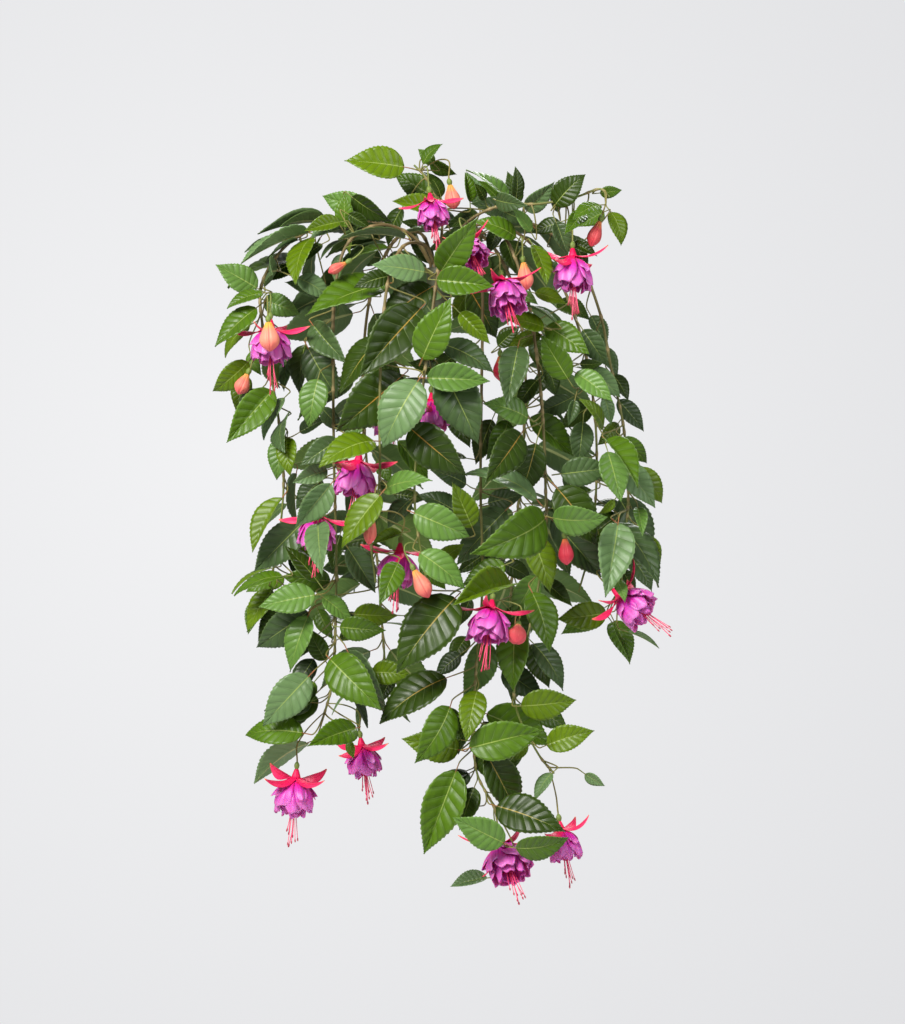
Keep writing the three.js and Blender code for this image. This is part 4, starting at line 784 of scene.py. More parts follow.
# Smaller leaves close the mass, each as far back as there is room for it. The x and z of the
# base and of the tip are those that the eye in front sees.
SMALL_LEAVES = (
    (38, 127, 26, 158, "g"), (60, 130, 38, 148, "m"), (72, 118, 30, 125, "t"), (76, 124, 67, 158, "d"),
    (-8, 68, -32, 92, "d"), (-15, 102, -40, 108, "d"), (65, 90, 75, 55, "d"), (58, 102, 48, 75, "d"),
    (28, 38, 12, 10, "o"), (-144, 68, -178, 47, "d"), (-122, 38, -155, 47, "t"), (-152, -22, -156, -62, "t"),
    (-190, -22, -178, -46, "m"), (-140, -102, -110, -88, "t"), (-88, -48, -114, -74, "d"),
    (-40, -44, -78, -36, "d"), (2, -42, -32, -32, "d"), (15, -26, -10, -44, "d"), (58, -16, 80, 4, "d"),
    (94, -8, 100, -40, "d"), (108, -42, 90, -68, "d"), (152, -74, 120, -98, "d"), (178, -70, 204, -102, "t"),
    (12, -78, 30, -118, "d"), (-62, -130, -48, -154, "m"), (-46, -164, -14, -170, "d"),
    (26, -154, -10, -140, "t"), (-118, -150, -144, -180, "t"), (-154, -174, -174, -196, "t"),
    (48, -173, 84, -165, "t"), (-100, -205, -108, -240, "d"), (-95, -230, -58, -215, "d"),
    (-18, -230, 6, -260, "m"), (42, -226, 16, -244, "d"), (64, -234, 92, -250, "d"),
    (-156, -248, -194, -262, "m"), (-178, -270, -191, -304, "m"), (-154, -276, -182, -312, "d"),
    (30, -268, 20, -296, "d"), (68, -278, 90, -308, "d"), (164, -278, 120, -304, "m"),
    (172, -292, 189, -334, "m"), (190, -226, 212, -262, "t"), (90, -315, 109, -358, "d"),
    (-122, -280, -106, -310, "m"), (151, 14, 166, -20, "t"), (160, -18, 178, -48, "t"),
    (172, -44, 188, -72, "d"), (118, 28, 150, 8, "d"), (-48, -346, -60, -374, "d"), (164, 118, 136, 102, "m"))
SMALL_DEPTHS = range(45, -110, -12)
SMALL_EASE = 0.5
LONGEST_TWIG = 80
for x, z, tip_x, tip_z, tone in SMALL_LEAVES:
    heading = math.degrees(math.atan2(tip_x - x, tip_z - z))
    length = math.hypot(tip_x - x, tip_z - z)
    luck = chances()
    for y in SMALL_DEPTHS:
        base = seen_at(x, z, y)
        gap, stem = min(((math.dist(stem.nearest(base)[0], base), stem) for stem in stems.values()),
                        key=lambda pair: pair[0])
        if gap > LONGEST_TWIG:
            continue
        leaf = place_leaf(stem, base, heading, length, unit(spot(base[0] / 400, -1, 0.3)), roll=0,
                          as_seen=True, luck=luck, ease=SMALL_EASE, shifts=(0,), tries=TRIES[:5])
        if leaf.clear > CLEAR_ENOUGH:
            leaf.tone = tone
            break

# Between these, smaller leaves in pairs fill the mass at even steps, laid closer than the rest.
# Seen from the front they stay inside the bush's outline, out of its open places and behind
# the leaves, blooms and buds above. An open place is an ellipse in mm as the eye sees it: its
# middle, then half its width and height.
OUTLINE = (
    (-95, 170), (-20, 183), (5, 186), (25, 164), (60, 154), (75, 165), (110, 147), (145, 156), (180, 146),
    (182, 88), (162, 60), (158, 20), (168, -12), (176, -58), (204, -104), (220, -170), (216, -256),
    (192, -330), (160, -308), (122, -310), (124, -368), (146, -404), (100, -428), (104, -470), (134, -500),
    (80, -546), (40, -532), (16, -502), (-16, -516), (-18, -460), (16, -436), (-34, -420), (-52, -388),
    (-80, -414), (-120, -414), (-182, -408), (-176, -368), (-150, -330), (-190, -312), (-200, -262),
    (-188, -190), (-172, -150), (-198, -106), (-222, -54), (-220, 22), (-222, 66), (-190, 92), (-150, 120),
    (-116, 138))
OPEN_PLACES = (
    (-82, 2, 15, 23), (-157, 0, 8, 8), (-103, -33, 5, 8), (-149, -77, 8, 10), (57, -35, 7, 31),
    (32, -117, 4, 22), (18, -157, 20, 9), (44, -170, 4, 12), (-5, -213, 21, 7), (119, -135, 7, 13),
    (137, -255, 24, 27), (-70, -273, 30, 11), (-112, -300, 8, 10), (-52, -310, 13, 13), (-114, -348, 9, 13),
    (8, -360, 9, 11), (55, -360, 13, 9), (-65, -405, 8, 13), (-95, -375, 7, 8), (90, -445, 13, 21),
    (83, -502, 17, 6), (160, 20, 28, 14))
FILL_STEP = 12
FILL_LENGTH = 70
FILL_EASE = 0.45
FILL_SHIFTS = (0, -13, -26, 13)
FILL_MARGIN = 5


def seen_from_front(samples):
    near = EYE[1] / (EYE[1] - samples[:, 1])
    return EYE[0] + (samples[:, 0] - EYE[0]) * near, EYE[2] + (samples[:, 2] - EYE[2]) * near


shown = room.spots[:room.count].copy()
shown_x, shown_z = seen_from_front(shown)


def fits(samples):
    """Whether a leaf may fill a gap in the front view, as seen there."""
    x, z = seen_from_front(samples)
    for a, b, wide, high in OPEN_PLACES:
        if (((x - a) / wide) ** 2 + ((z - b) / high) ** 2 < 1).any():
            return False
    inside = np.zeros(len(x), bool)
    for (a, b), (c, d) in zip(OUTLINE, (*OUTLINE[1:], OUTLINE[0])):
        inside ^= ((b > z) != (d > z)) & (x < a + (z - b) * (c - a) / ((d - b) or 1e-9))
    if not inside.all():
        return False
    near = (shown_x > x.min() - 6) & (shown_x < x.max() + 6)
    near &= (shown_z > z.min() - 6) & (shown_z < z.max() + 6)
    near &= shown[:, 1] > samples[:, 1].min()
    apart = (x[:, None] - shown_x[near]) ** 2 + (z[:, None] - shown_z[near]) ** 2
    return not ((apart < FILL_MARGIN ** 2) & (shown[near][:, 1] > samples[:, 1][:, None] - 2)).any()


for stem in stems.values():
    for s in range(34, math.ceil(stem.curve.length - 20), FILL_STEP):
        here = stem.curve.along(s / stem.curve.length)
        out = unit(spot(here[0] + 0.01, here[1], 0))
        for hand in (-1, 1):
            a = math.pi / 2 - hand * (0.35 + 1.1 * next(pick))
            side = spot(math.cos(a), math.sin(a), 0)
            face = unit(out * (1 if here[1] > 0 else -0.2) + spot(0, -0.6, 0.5))
            heading = hand * (75 + 95 * next(pick))
            length = FILL_LENGTH * (0.55 + 0.55 * next(pick)) * (1 - 0.3 * s / stem.curve.length)
            tip = here + side * (8 + 12 * next(pick)) - spot(0, 0, 5)
            leaf = place_leaf(stem, tip, heading, length, face, ease=FILL_EASE, fits=fits,
                              shifts=FILL_SHIFTS, tries=TRIES[:6])
            leaf.fill = True


def store(mesh, name, kind, values):
    """Keep a value for each point of a mesh."""
    layer = mesh.attributes.new(name, kind, "POINT")
    values = np.asarray(values, np.int32 if kind == "INT" else np.float32)
    layer.data.foreach_set("vector" if kind == "FLOAT_VECTOR" else "value", values.ravel())


class Strands:
    """Lines that become rods, and points that each bear a moulded form, in one mesh.

    A point that bears a form holds its number, how it is turned and stretched, and its tint."""

    def __init__(self):
        self.edges = []
        self.count = 0
        self.rows = {key: [] for key in ("points", "growth", "turn", "stretch", "tint", "form", "thick")}

    def hold(self, points, growth, turn=(0, 0, 0), stretch=(0, 0, 0), tint=(0, 0, 0), form=-1, thick=0):
        n = len(points)
        for key, value in (("points", points), ("growth", growth), ("turn", turn), ("stretch", stretch),
                           ("tint", tint)):
            self.rows[key].append(np.broadcast_to(np.asarray(value, float), (n, 3)))
        for key, value in (("form", form), ("thick", thick)):
            self.rows[key].append(np.broadcast_to(value, n))
        self.count += n

    def rod(self, points, thick, growth):
        self.edges += [(self.count + k, self.count + k + 1) for k in range(len(points) - 1)]
        self.hold(points, growth, thick=thick)

    def bear(self, place, axes, stretch, form=0, tint=(0, 0, 0), growth=(0, 0, 0)):
        turn = Matrix(np.array(axes).T.tolist()).to_euler("XYZ")
        self.hold([place], growth, tuple(turn), stretch, tint, form)

    def mesh(self, name):
        rows = {key: np.concatenate(parts) for key, parts in self.rows.items()}
        mesh = bpy.data.meshes.new(name)
        mesh.from_pydata((rows["points"] * MM).tolist(), self.edges, [])
        store(mesh, "form", "INT", rows["form"])
        store(mesh, "thick", "FLOAT", rows["thick"] * MM)
        store(mesh, "stretch", "FLOAT_VECTOR", rows["stretch"] * MM)
        for key in ("growth", "turn", "tint"):
            store(mesh, key, "FLOAT_VECTOR", rows[key])
        return mesh


def growth_tree():
    """Geometry nodes that turn lines into rods and set a moulded form on each bearing point."""
    tree = bpy.data.node_groups.new("rods_and_what_they_bear", "GeometryNodeTree")
    for name, kind in (("Geometry", "Geometry"), ("Sides", "Int"), ("Body", "Object"),
                       ("Forms", "Collection"), ("Rod finish", "Material"), ("Form finish", "Material")):
        tree.interface.new_socket(name, in_out="INPUT", socket_type=f"NodeSocket{kind}")
    tree.interface.new_socket("Geometry", in_out="OUTPUT", socket_type="NodeSocketGeometry")
    given = tree.nodes.new("NodeGroupInput").outputs

    def add(kind, inputs, settings=None):
        """The first output of a new node whose inputs are linked or given a value."""
        node = tree.nodes.new(kind)
        for key, value in (settings or {}).items():
            setattr(node, key, value)
        for key, value in inputs.items():
            if isinstance(value, bpy.types.NodeSocket):
                tree.links.new(value, node.inputs[key])
            else:
                node.inputs[key].default_value = value
        return node.outputs[0] if node.outputs else node

    def named(name, kind):
        return add("GeometryNodeInputNamedAttribute", {"Name": name}, {"data_type": kind})

    lines = add("GeometryNodeMeshToCurve", {"Mesh": given["Geometry"]})
    section = add("GeometryNodeCurvePrimitiveCircle", {"Resolution": given["Sides"], "Radius": 1.0})
    rods = add("GeometryNodeCurveToMesh", {"Curve": lines, "Profile Curve": section, "Fill Caps": True,
                                           "Scale": named("thick", "FLOAT")})
    rods = add("GeometryNodeSetMaterial", {"Geometry": rods, "Material": given["Rod finish"]})
    forms = add("GeometryNodeCollectionInfo",
                {"Collection": given["Forms"], "Separate Children": True, "Reset Children": True})
    bears = add("FunctionNodeCompare", {2: named("form", "INT")},
                {"data_type": "INT", "operation": "GREATER_EQUAL"})
    moulded = add("GeometryNodeInstanceOnPoints", {
        "Points": given["Geometry"], "Selection": bears, "Instance": forms, "Pick Instance": True,
        "Instance Index": named("form", "INT"), "Rotation": named("turn", "FLOAT_VECTOR"),
        "Scale": named("stretch", "FLOAT_VECTOR")})
    moulded = add("GeometryNodeRealizeInstances", {"Geometry": moulded})
    moulded = add("GeometryNodeSetMaterial", {"Geometry": moulded, "Material": given["Form finish"]})
    body = add("GeometryNodeObjectInfo", {"Object": given["Body"]}).node
    joined = tree.nodes.new("GeometryNodeJoinGeometry")
    for part in (body.outputs["Geometry"], moulded, rods):
        tree.links.new(part, joined.inputs["Geometry"])
    smooth = add("GeometryNodeSetShadeSmooth", {"Geometry": joined.outputs["Geometry"]})
    real = add("GeometryNodeRealizeInstances", {"Geometry": smooth})
    add("NodeGroupOutput", {"Geometry": real})
    return tree


GROWTH = growth_tree()


def grown(name, strands, sides, body, forms, rod_finish, form_finish):
    """The finished piece: its rods, its moulded forms and the body that is modelled one by one."""
    seed = placed(f"{name}.lines", strands.mesh(f"{name}.lines"))
    growth = seed.modifiers.new("growth", "NODES")
    growth.node_group = GROWTH
    given = {"Sides": sides, "Body": body, "Forms": forms,
             "Rod finish": rod_finish.material, "Form finish": form_finish.material}
    for item in GROWTH.interface.items_tree:
        if item.in_out == "INPUT" and item.name in given:
            growth[item.identifier] = given[item.name]
    depsgraph = bpy.context.evaluated_depsgraph_get()
    mesh = bpy.data.meshes.new_from_object(seed.evaluated_get(depsgraph), preserve_all_data_layers=True,
                                           depsgraph=depsgraph)
    bpy.data.objects.remove(seed)
    if body:
        bpy.data.objects.remove(body)
    mesh.name = name
    return placed(name, mesh)


def sheet(grid, thickness):
    """A closed thin blade from a grid of points whose two directions give the way it faces."""
    across = np.gradient(grid, axis=1)
    facing = np.cross(across, np.gradient(grid, axis=0))
    facing /= np.linalg.norm(facing, axis=2, keepdims=True) + 1e-12
    half = facing * np.asarray(thickness) / 2
    n = grid.shape[0] * grid.shape[1]
    i = np.arange(n).reshape(grid.shape[:2])
    top = np.stack((i[:-1, :-1], i[:-1, 1:], i[1:, 1:], i[1:, :-1]), 2).reshape(-1, 4)
    rim = np.concatenate((i[0, :-1], i[:-1, -1], i[-1, :0:-1], i[:0:-1, 0]))
    after = np.roll(rim, -1)
    sides = np.stack((rim, rim + n, after + n, after), 1)
    points = np.concatenate(((grid + half).reshape(-1, 3), (grid - half).reshape(-1, 3)))
    return points, np.concatenate((top, top[:, ::-1] + n, sides)).tolist()


def turned(base, axis, one, two, profile, sides, flutes=0, depth=0.0):
    """A closed turned form: pairs of reach along the axis and radius, with flutes round it."""
    angles = np.arange(sides) * 2 * math.pi / sides
    wave = 1 + depth * np.cos(flutes * angles)[:, None]
    out = one * np.cos(angles)[:, None] + two * np.sin(angles)[:, None]
    points = [base + axis * reach + out * radius * wave for reach, radius in profile]
    last = len(profile) * sides
    points = np.concatenate((*points, [base + axis * profile[0][0]], [base + axis * profile[-1][0]]))
    faces = []
    for j in range(sides):
        k = (j + 1) % sides
        for i in range(len(profile) - 1):
            faces.append([i * sides + j, i * sides + k, (i + 1) * sides + k, (i + 1) * sides + j])
        faces += [[last, k, j], [last + 1, last - sides + j, last - sides + k]]
    return points, faces


class Body:
    """The parts of a piece that are modelled one by one, gathered with their own values."""

    def __init__(self, *keys):
        self.points, self.faces = [], []
        self.values = {key: [] for key in keys}
        self.count = 0

    def take(self, form, **values):
        points, faces = form
        self.points.append(points)
        self.faces += [[i + self.count for i in face] for face in faces]
        for key, kept in self.values.items():
            kept.append(np.broadcast_to(values[key], (len(points), 3)))
        self.count += len(points)

    def thing(self, name, finish=None):
        mesh = bpy.data.meshes.new(name)
        mesh.from_pydata((np.concatenate(self.points) * MM).tolist(), [], self.faces)
        for key, kept in self.values.items():
            store(mesh, key, "FLOAT_VECTOR", np.concatenate(kept))
        if finish:
            mesh.materials.append(finish.material)
        mesh.shade_smooth()
        return placed(name, mesh)


ROD_STEP = 2.5


def bowed(a, leave, b, arrive, step=ROD_STEP, pull=1.0):
    """Points on a smooth path from a, leaving along one direction, to b, arriving along another."""
    reach = math.dist(a, b)
    leave, arrive = leave * pull, arrive * pull
    n = max(3, whole(reach / step))
    f = np.linspace(0, 1, n + 1)[:, None]
    return ((2 * f ** 3 - 3 * f ** 2 + 1) * a + (f ** 3 - 2 * f ** 2 + f) * leave * reach
            + (3 * f ** 2 - 2 * f ** 3) * b + (f ** 3 - f ** 2) * arrive * reach)


stem_finish = Finish("stem_plastic", Roughness=0.55, Specular_IOR_Level=0.4)
young, ruddy, node = stem_finish.parts("growth")
streaks = stem_finish.noise(140.0, detail=4.0)
bark = stem_finish.mix(streaks, (0.085, 0.052, 0.018), (0.16, 0.125, 0.04))
green = stem_finish.mix(streaks, (0.10, 0.155, 0.025), (0.19, 0.25, 0.05))
olive = stem_finish.coated(bark, (young, green), (ruddy * 0.8, (0.33, 0.05, 0.03)),
                           (node, (0.30, 0.22, 0.10)))
stem_finish.feed(Base_Color=olive, Roughness=0.45 + streaks * 0.25)
stem_finish.bump(streaks, 0.35, 0.0006)

# The leafy stems' rods: main stems that taper and swell where a twig leaves, twigs, leaf
# stalks, and the thin stalks of the flowers, each with its ovary.
TAPER = 0.42
NODE_SWELLING = 0.55
NODE_LENGTH = 2.6
TWIG_RADIUS = 0.85
LEAF_STALK_RADIUS = 0.62
FLOWER_STALK_RADIUS = 0.6
OVARY = ((0, 0.9), (0.8, 1.7), (2.2, 2.5), (3.8, 2.8), (5.4, 2.45), (6.6, 1.9), (7.2, 1.6))
BIG_OVARIES = {"bloom_13": 1.9}
chance = draws(7)


# The three values of growth say how young, how ruddy and how knotted a place is.
def lay_rods(stem, strands, body):
    n = whole(stem.curve.length / ROD_STEP)
    path = np.array([stem.curve.along(k / n) for k in range(n + 1)])
    shares = np.linspace(0, 1, n + 1)
    thick = STEM_RADIUS * (1 - TAPER * shares)
    swell = np.zeros(n + 1)
    for leaf in stem.twigs:
        swell = np.maximum(swell, np.exp(-((shares - leaf.share) * stem.curve.length / NODE_LENGTH) ** 2))
    foot = np.array(spaced([stem.root, path[0] - spot(0, 0, 1)], 4))
    path = np.concatenate((foot, path))
    growth = np.zeros((len(path), 3))
    growth[len(foot):, 0] = np.clip(shares * 1.25 - 0.35, 0, 0.75)
    growth[len(foot):, 2] = 0.8 * swell
    thick = np.concatenate((np.full(len(foot), STEM_RADIUS), thick + NODE_SWELLING * swell))
    strands.rod(path, thick, growth)
    for leaf in stem.twigs:
        start = stem.curve.along(leaf.share)
        run = unit(stem.curve.along(min(1, leaf.share + 0.01)) - stem.curve.along(max(0, leaf.share - 0.01)))
        path = bowed(start, unit(run * 0.8 + unit(leaf.foot - start)), leaf.foot, leaf.first, pull=0.55)
        stretch = np.linspace(0, 1, len(path))[:, None]
        growth = np.concatenate((0.35 + 0.5 * stretch, 0.25 * stretch, 0.7 * np.exp(-(stretch * 9) ** 2)), 1)
        strands.rod(path, np.linspace(TWIG_RADIUS, LEAF_STALK_RADIUS + 0.05, len(path)), growth)
        red = 0.6 * (leaf.length > 56) + 0.25 * next(chance)
        stalk = bowed(leaf.foot, leaf.first, leaf.base + 1.5 * leaf.first, leaf.first, 2)
        strands.rod(stalk, np.linspace(LEAF_STALK_RADIUS, 0.5, len(stalk)), (0.8, red, 0))
    for share, flower in stem.pedicels:
        start = stem.curve.along(share)
        high = flower.ovary - 13 * flower.axis + spot(0, 0, 6)
        towards = unit(flower.ovary - start)
        first = bowed(start, unit(high - start + spot(0, 0, 8)), high, towards)
        second = bowed(high, towards, flower.ovary + flower.axis * 0.5, flower.axis)
        path = np.concatenate((first[:-1], second))
        strands.rod(path, np.linspace(FLOWER_STALK_RADIUS, 0.85, len(path)), (0.9, 0.35 * next(chance), 0))
        big = BIG_OVARIES.get(flower.name, 1)
        end = OVARY[-1][0]
        profile = [(end - (end - reach) * (0.5 + 0.5 * big), radius * big) for reach, radius in OVARY]
        body.take(turned(flower.ovary, flower.axis, flower.one, flower.two, profile, 14, 4, 0.04),
                  growth=(1, 0, 0))


# The leaves.
# Printed fabric leaves, pressed in five forms with side veins that pleat the blade, a finely
# toothed edge and a folded midrib, and glued on the ends of the twigs.
LEAF_THICKNESS = 0.009
PLEATS = 9
PLEAT_HEIGHT = 0.015
TOOTH_OUT, TOOTH_IN, TOOTH_FORWARD = 0.030, -0.020, 0.013
WAVE_HEIGHT = 0.012
MIDRIB_DEPTH = 0.01
WIDEST = 0.37
# The share of its tint that a fill leaf keeps: painted shade for the inside of the bush.
FILL_PAINTED_SHADE = 0.68
PLAIN_LENGTH = 36
TONES = {"d": (0.019, 0.040, 0.001), "t": (0.042, 0.076, 0.022), "m": (0.050, 0.106, 0.003),
         "l": (0.078, 0.158, 0.025), "o": (0.076, 0.132, 0.001), "g": (0.095, 0.165, 0.058)}
FILL_TONES = "tmtmo"


def leaf_form(name, form, fine):
    """A leaf 1 long and as wide as its form says; the plain ones have fewer, broader teeth."""
    rows, columns = (PLEATS * 4, 5) if fine else (PLEATS * 2 + 2, 3)
    t = np.linspace(0, 1, rows + 1)[:, None]
    v = np.linspace(-1, 1, 2 * columns + 1)
    v = np.broadcast_to(np.sign(v) * np.abs(v) ** 0.9, (rows + 1, 2 * columns + 1))
    off = np.abs(v)
    # u and v run along and across the blade; its side veins and rows of points sweep forward.
    r = t ** 1.15
    edge = r + 0.72 * r * (1 - r)
    u = r + (edge - r) * off ** 0.9
    below = np.clip((WIDEST - edge) / WIDEST, 0, 1)
    above = np.clip((edge - WIDEST) / (1 - WIDEST), 0, 1)
    rounded = np.sqrt(1 - below ** 2 * 0.985) ** 1.1
    outline = np.where(edge < WIDEST, rounded, np.cos(above * math.pi / 2) ** 1.18)
    outline = np.maximum(outline, 0.02)
    teeth = np.where(np.arange(rows + 1)[:, None] % 2, TOOTH_OUT, TOOTH_IN)
    teeth = teeth * np.clip(t * 9, 0, 1) * np.clip((1 - t) * 9, 0, 1)
    if not fine:
        teeth = teeth * 0.7
    x = v * outline * (1 + teeth * off ** 6)
    u = u + np.where(teeth > 0, TOOTH_FORWARD, 0) * off ** 6
    grid, up = on_blade(form, u, x, 1.0, spot(0, 1, 0), spot(0, 0, 1), spot(1, 0, 0), spot(0, 0, 0))
    phase = t * PLEATS
    puff = np.abs(np.sin(math.pi * phase)) ** (0.8 if fine else 1)
    rise = PLEAT_HEIGHT * puff * np.clip(off * 3, 0, 1) * (1 - 0.35 * off)
    rise = rise * np.sin(math.pi * np.clip(t * 1.02, 0, 1)) ** 0.45
    wave = WAVE_HEIGHT * np.sin(5.2 * t + 2.1 * np.sign(v) + form) * off ** 2
    groove = -MIDRIB_DEPTH * np.exp(-(off * 7) ** 2)
    grid = grid + up * (rise * outline ** 0.3 + wave + groove)[..., None]
    points, faces = sheet(grid, LEAF_THICKNESS)
    upper = np.stack((phase + 0 * v, v, np.ones_like(v)), 2).reshape(-1, 3)
    body = Body("blade")
    body.take((points / MM, faces), blade=np.concatenate((upper, upper * (1, 1, 0))))
    return body.thing(name)


def kept_forms(name, things):
    """A collection that holds the moulded forms, out of the scene itself."""
    forms = bpy.data.collections.new(name)
    bpy.context.scene.collection.children.link(forms)
    for thing in things:
        bpy.context.scene.collection.objects.unlink(thing)
        forms.objects.link(thing)
    return forms


leaf_forms = kept_forms("leaf_forms", [leaf_form(f"leaf_{'a' if fine else 'b'}{form}", form, fine)
                                       for fine in (True, False) for form in range(len(FORMS))])

leaf_finish = Finish("leaf_fabric", Roughness=0.36, Specular_IOR_Level=0.25)
pleat, place, face = leaf_finish.parts("blade")
tint = leaf_finish.attribute("tint")
blush = leaf_finish.parts("growth")[0]
off = place.sum("ABSOLUTE", place)
crest = pleat.sum("FRACT", pleat)
vein = (crest - 0.5).sum("ABSOLUTE", crest - 0.5)
mottle = leaf_finish.noise(70.0, detail=3.0)
weave = leaf_finish.noise(1600.0, detail=1.0)
pale = leaf_finish.mix(1.0, tint, (1.5, 1.45, 1.7), "MULTIPLY")
# The tint darkened, as painted shade for the pleat grooves.
painted_pleat_shade = leaf_finish.mix(1.0, tint, (0.45, 0.5, 0.5), "MULTIPLY")
line = leaf_finish.mix(1.0, tint, (0.10, 0.13, 0.05), "ADD")
ruddy = blush * (1 - (pleat / PLEATS).step(0.4, 0.95))
rib = leaf_finish.mix(ruddy, (0.27, 0.34, 0.08), (0.42, 0.19, 0.03))
# On top, the band round each side vein's groove is darkened with painted shade of the crease.
top = leaf_finish.coated(
    tint, (mottle.step(0.35, 0.75) * 0.45, pale), (vein.step(0.30, 0.5) * 0.5, painted_pleat_shade),
    (vein.step(0.455, 0.49) * (1 - off.step(0.2, 0.9)) * 0.7, line), (off.step(0.93, 0.99) * 0.4, line),
    ((1 - off.step(0.012, 0.04)) * 0.8, rib))
under = leaf_finish.coated(tint, (0.45, (0.14, 0.23, 0.08)), (vein.step(0.43, 0.49) * 0.4, line),
                           (1 - off.step(0.04, 0.09), (0.32, 0.36, 0.14)))
leaf_finish.feed(Base_Color=leaf_finish.mix(face.step(0.3, 0.7), under, top),
                 Roughness=0.30 + mottle * 0.14 + (1 - face) * 0.2)
leaf_finish.bump(weave * 0.1 + mottle * 0.3 + 1 - (vein * 2) ** 3, 0.4, 0.0007)

for stem in stems.values():
    strands = Strands()
    body = Body("growth")
    lay_rods(stem, strands, body)
    for leaf in stem.twigs:
        tone = leaf.tone or FILL_TONES[int(next(chance) * len(FILL_TONES))]
        light = 1 + 0.3 * (next(chance) - 0.5)
        # A fill leaf is darkened with painted shade; any other leaf gets a random brightness.
        tint = np.array(TONES[tone]) * (FILL_PAINTED_SHADE if leaf.fill else light)
        blush = float(tone == "d" and leaf.length > 52) * (0.5 + 0.5 * next(chance))
        wide = (1.0 + 0.15 * next(chance)) * leaf.slant
        plain = leaf.length < PLAIN_LENGTH or leaf.fill
        strands.bear(leaf.base, (leaf.side, leaf.first, leaf.lift),
                     (leaf.length * wide, leaf.length, leaf.length),
                     leaf.form + (len(FORMS) if plain else 0), tint, (blush, next(chance), 0))
    name = stem.name.replace("stem_", "leafy_")
    hand_made = body.thing(f"{name}.body", stem_finish) if body.count else None
    piece = grown(name, strands, 7, hand_made, leaf_forms, stem_finish, leaf_finish)
    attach(piece, "root")
    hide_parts(stem.name)
for thing in list(leaf_forms.objects):
    bpy.data.objects.remove(thing)

# The stub.
# A moulded polyethylene plug, tapered to push into the basket's foam, with a round hole for
# the foot of each stem in its broad head.
STUB_PROFILE = ((0, 6.2), (0.8, 7), (26, 7), (29, 7.6), (37, 12.9), (40, 13.5), (60.8, 13.5), (62, 12.6))
STUB_HOLE = 2.2

stub_finish = Finish("stub_plastic", Roughness=0.6)
grain = stub_finish.noise(220.0, detail=3.0)
stub_finish.feed(Base_Color=stub_finish.mix(grain, (0.028, 0.034, 0.014), (0.055, 0.06, 0.028)),
                 Roughness=0.5 + grain * 0.2)
stub_finish.bump(grain, 0.3, 0.0004)
UPRIGHT = (spot(0, 0, 1), spot(1, 0, 0), spot(0, 1, 0))

body = Body()
body.take(turned(spot(0, 0, 0), *UPRIGHT, STUB_PROFILE, 56))
stub = body.thing("moulded_stub", stub_finish)
body = Body()
for stem in stems.values():
    body.take(turned(stem.root - spot(0, 0, 0.3), *UPRIGHT, ((0, STUB_HOLE), (30, STUB_HOLE)), 20))
holes = body.thing("stub_holes", stub_finish)
cut = stub.modifiers.new("holes", "BOOLEAN")
cut.operation = "DIFFERENCE"
cut.object = holes
cut.solver = "EXACT"
depsgraph = bpy.context.evaluated_depsgraph_get()
bored = bpy.data.meshes.new_from_object(stub.evaluated_get(depsgraph), depsgraph=depsgraph)
stub.modifiers.clear()
stub.data = bored
bpy.data.objects.remove(holes)
bored.shade_smooth()
bored.set_sharp_from_angle(angle=math.radians(40))
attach(stub, "root")
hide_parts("stub")

# The calyxes.
# Each is a satin fabric flower cup: a short fluted tube, four pointed sepals that curl back,
# orange towards their tips, and eight stamens and a longer style on a core that hangs out.
TUBE = ((0, 1.5), (0.5, 2.0), (2.5, 2.7), (5, 3.5), (7, 4.1), (9, 4.4), (10.6, 3.4), (11.2, 1.4))
SEPAL_FULLNESS = 1.05
SEPAL_WIDTHS = ((0, 0.12, 0.3, 0.45, 0.65, 0.82, 0.93, 1), (0.66, 0.88, 1.04, 1.02, 0.78, 0.44, 0.21, 0.05))
SEPAL_THICKNESS = 0.6
STAMENS = 8
STAMEN_RADIUS = 0.36
ANTHER = ((0, 0.15), (0.3, 0.5), (1.0, 0.75), (2.2, 0.7), (3.0, 0.45), (3.3, 0.12))

calyx_finish = Finish("calyx_satin", Roughness=0.42, Specular_IOR_Level=0.25)
reach, place, kind = calyx_finish.parts("sepal")
off = place.sum("ABSOLUTE", place)
mottle = calyx_finish.noise(120.0, detail=3.0)
grain = calyx_finish.noise(900.0, detail=2.0)
red = calyx_finish.coated(
    calyx_finish.mix(mottle, (0.60, 0.002, 0.06), (0.74, 0.012, 0.11)),
    ((reach + mottle * 0.3 - 0.15).step(0.25, 0.7) * 0.6, (0.80, 0.04, 0.13)),
    ((1 - reach.step(0.0, 0.12)) * 0.6, (0.55, 0.0, 0.05)),
    ((reach + mottle * 0.2).step(0.94, 1.18) * 0.9, (0.85, 0.28, 0.12)),
    (1 - off.step(0.02, 0.12), (0.62, 0.01, 0.06)))
calyx_finish.feed(Base_Color=red, Roughness=0.38 + grain * 0.2)
calyx_finish.bump(grain * 0.5 + (off * 9).sum("SINE", off * 22) * 0.3, 0.3, 0.0005)

stamen_finish = Finish("stamen_plastic", Roughness=0.4)
hue = stamen_finish.noise(60.0)
stamen_finish.feed(Base_Color=stamen_finish.mix(hue, (0.70, 0.01, 0.10), (0.85, 0.10, 0.20)))
anther_finish = Finish("anther_flock", Roughness=0.8)
hue = anther_finish.noise(500.0)
anther_finish.feed(Base_Color=anther_finish.mix(hue, (0.28, 0.01, 0.05), (0.50, 0.06, 0.08)))

body = Body()
body.take(turned(spot(0, 0, 0), *UPRIGHT, [(reach / MM, radius / MM) for reach, radius in ANTHER], 6))
anther = body.thing("anther", anther_finish)
anther_forms = kept_forms("anther_forms", [anther])


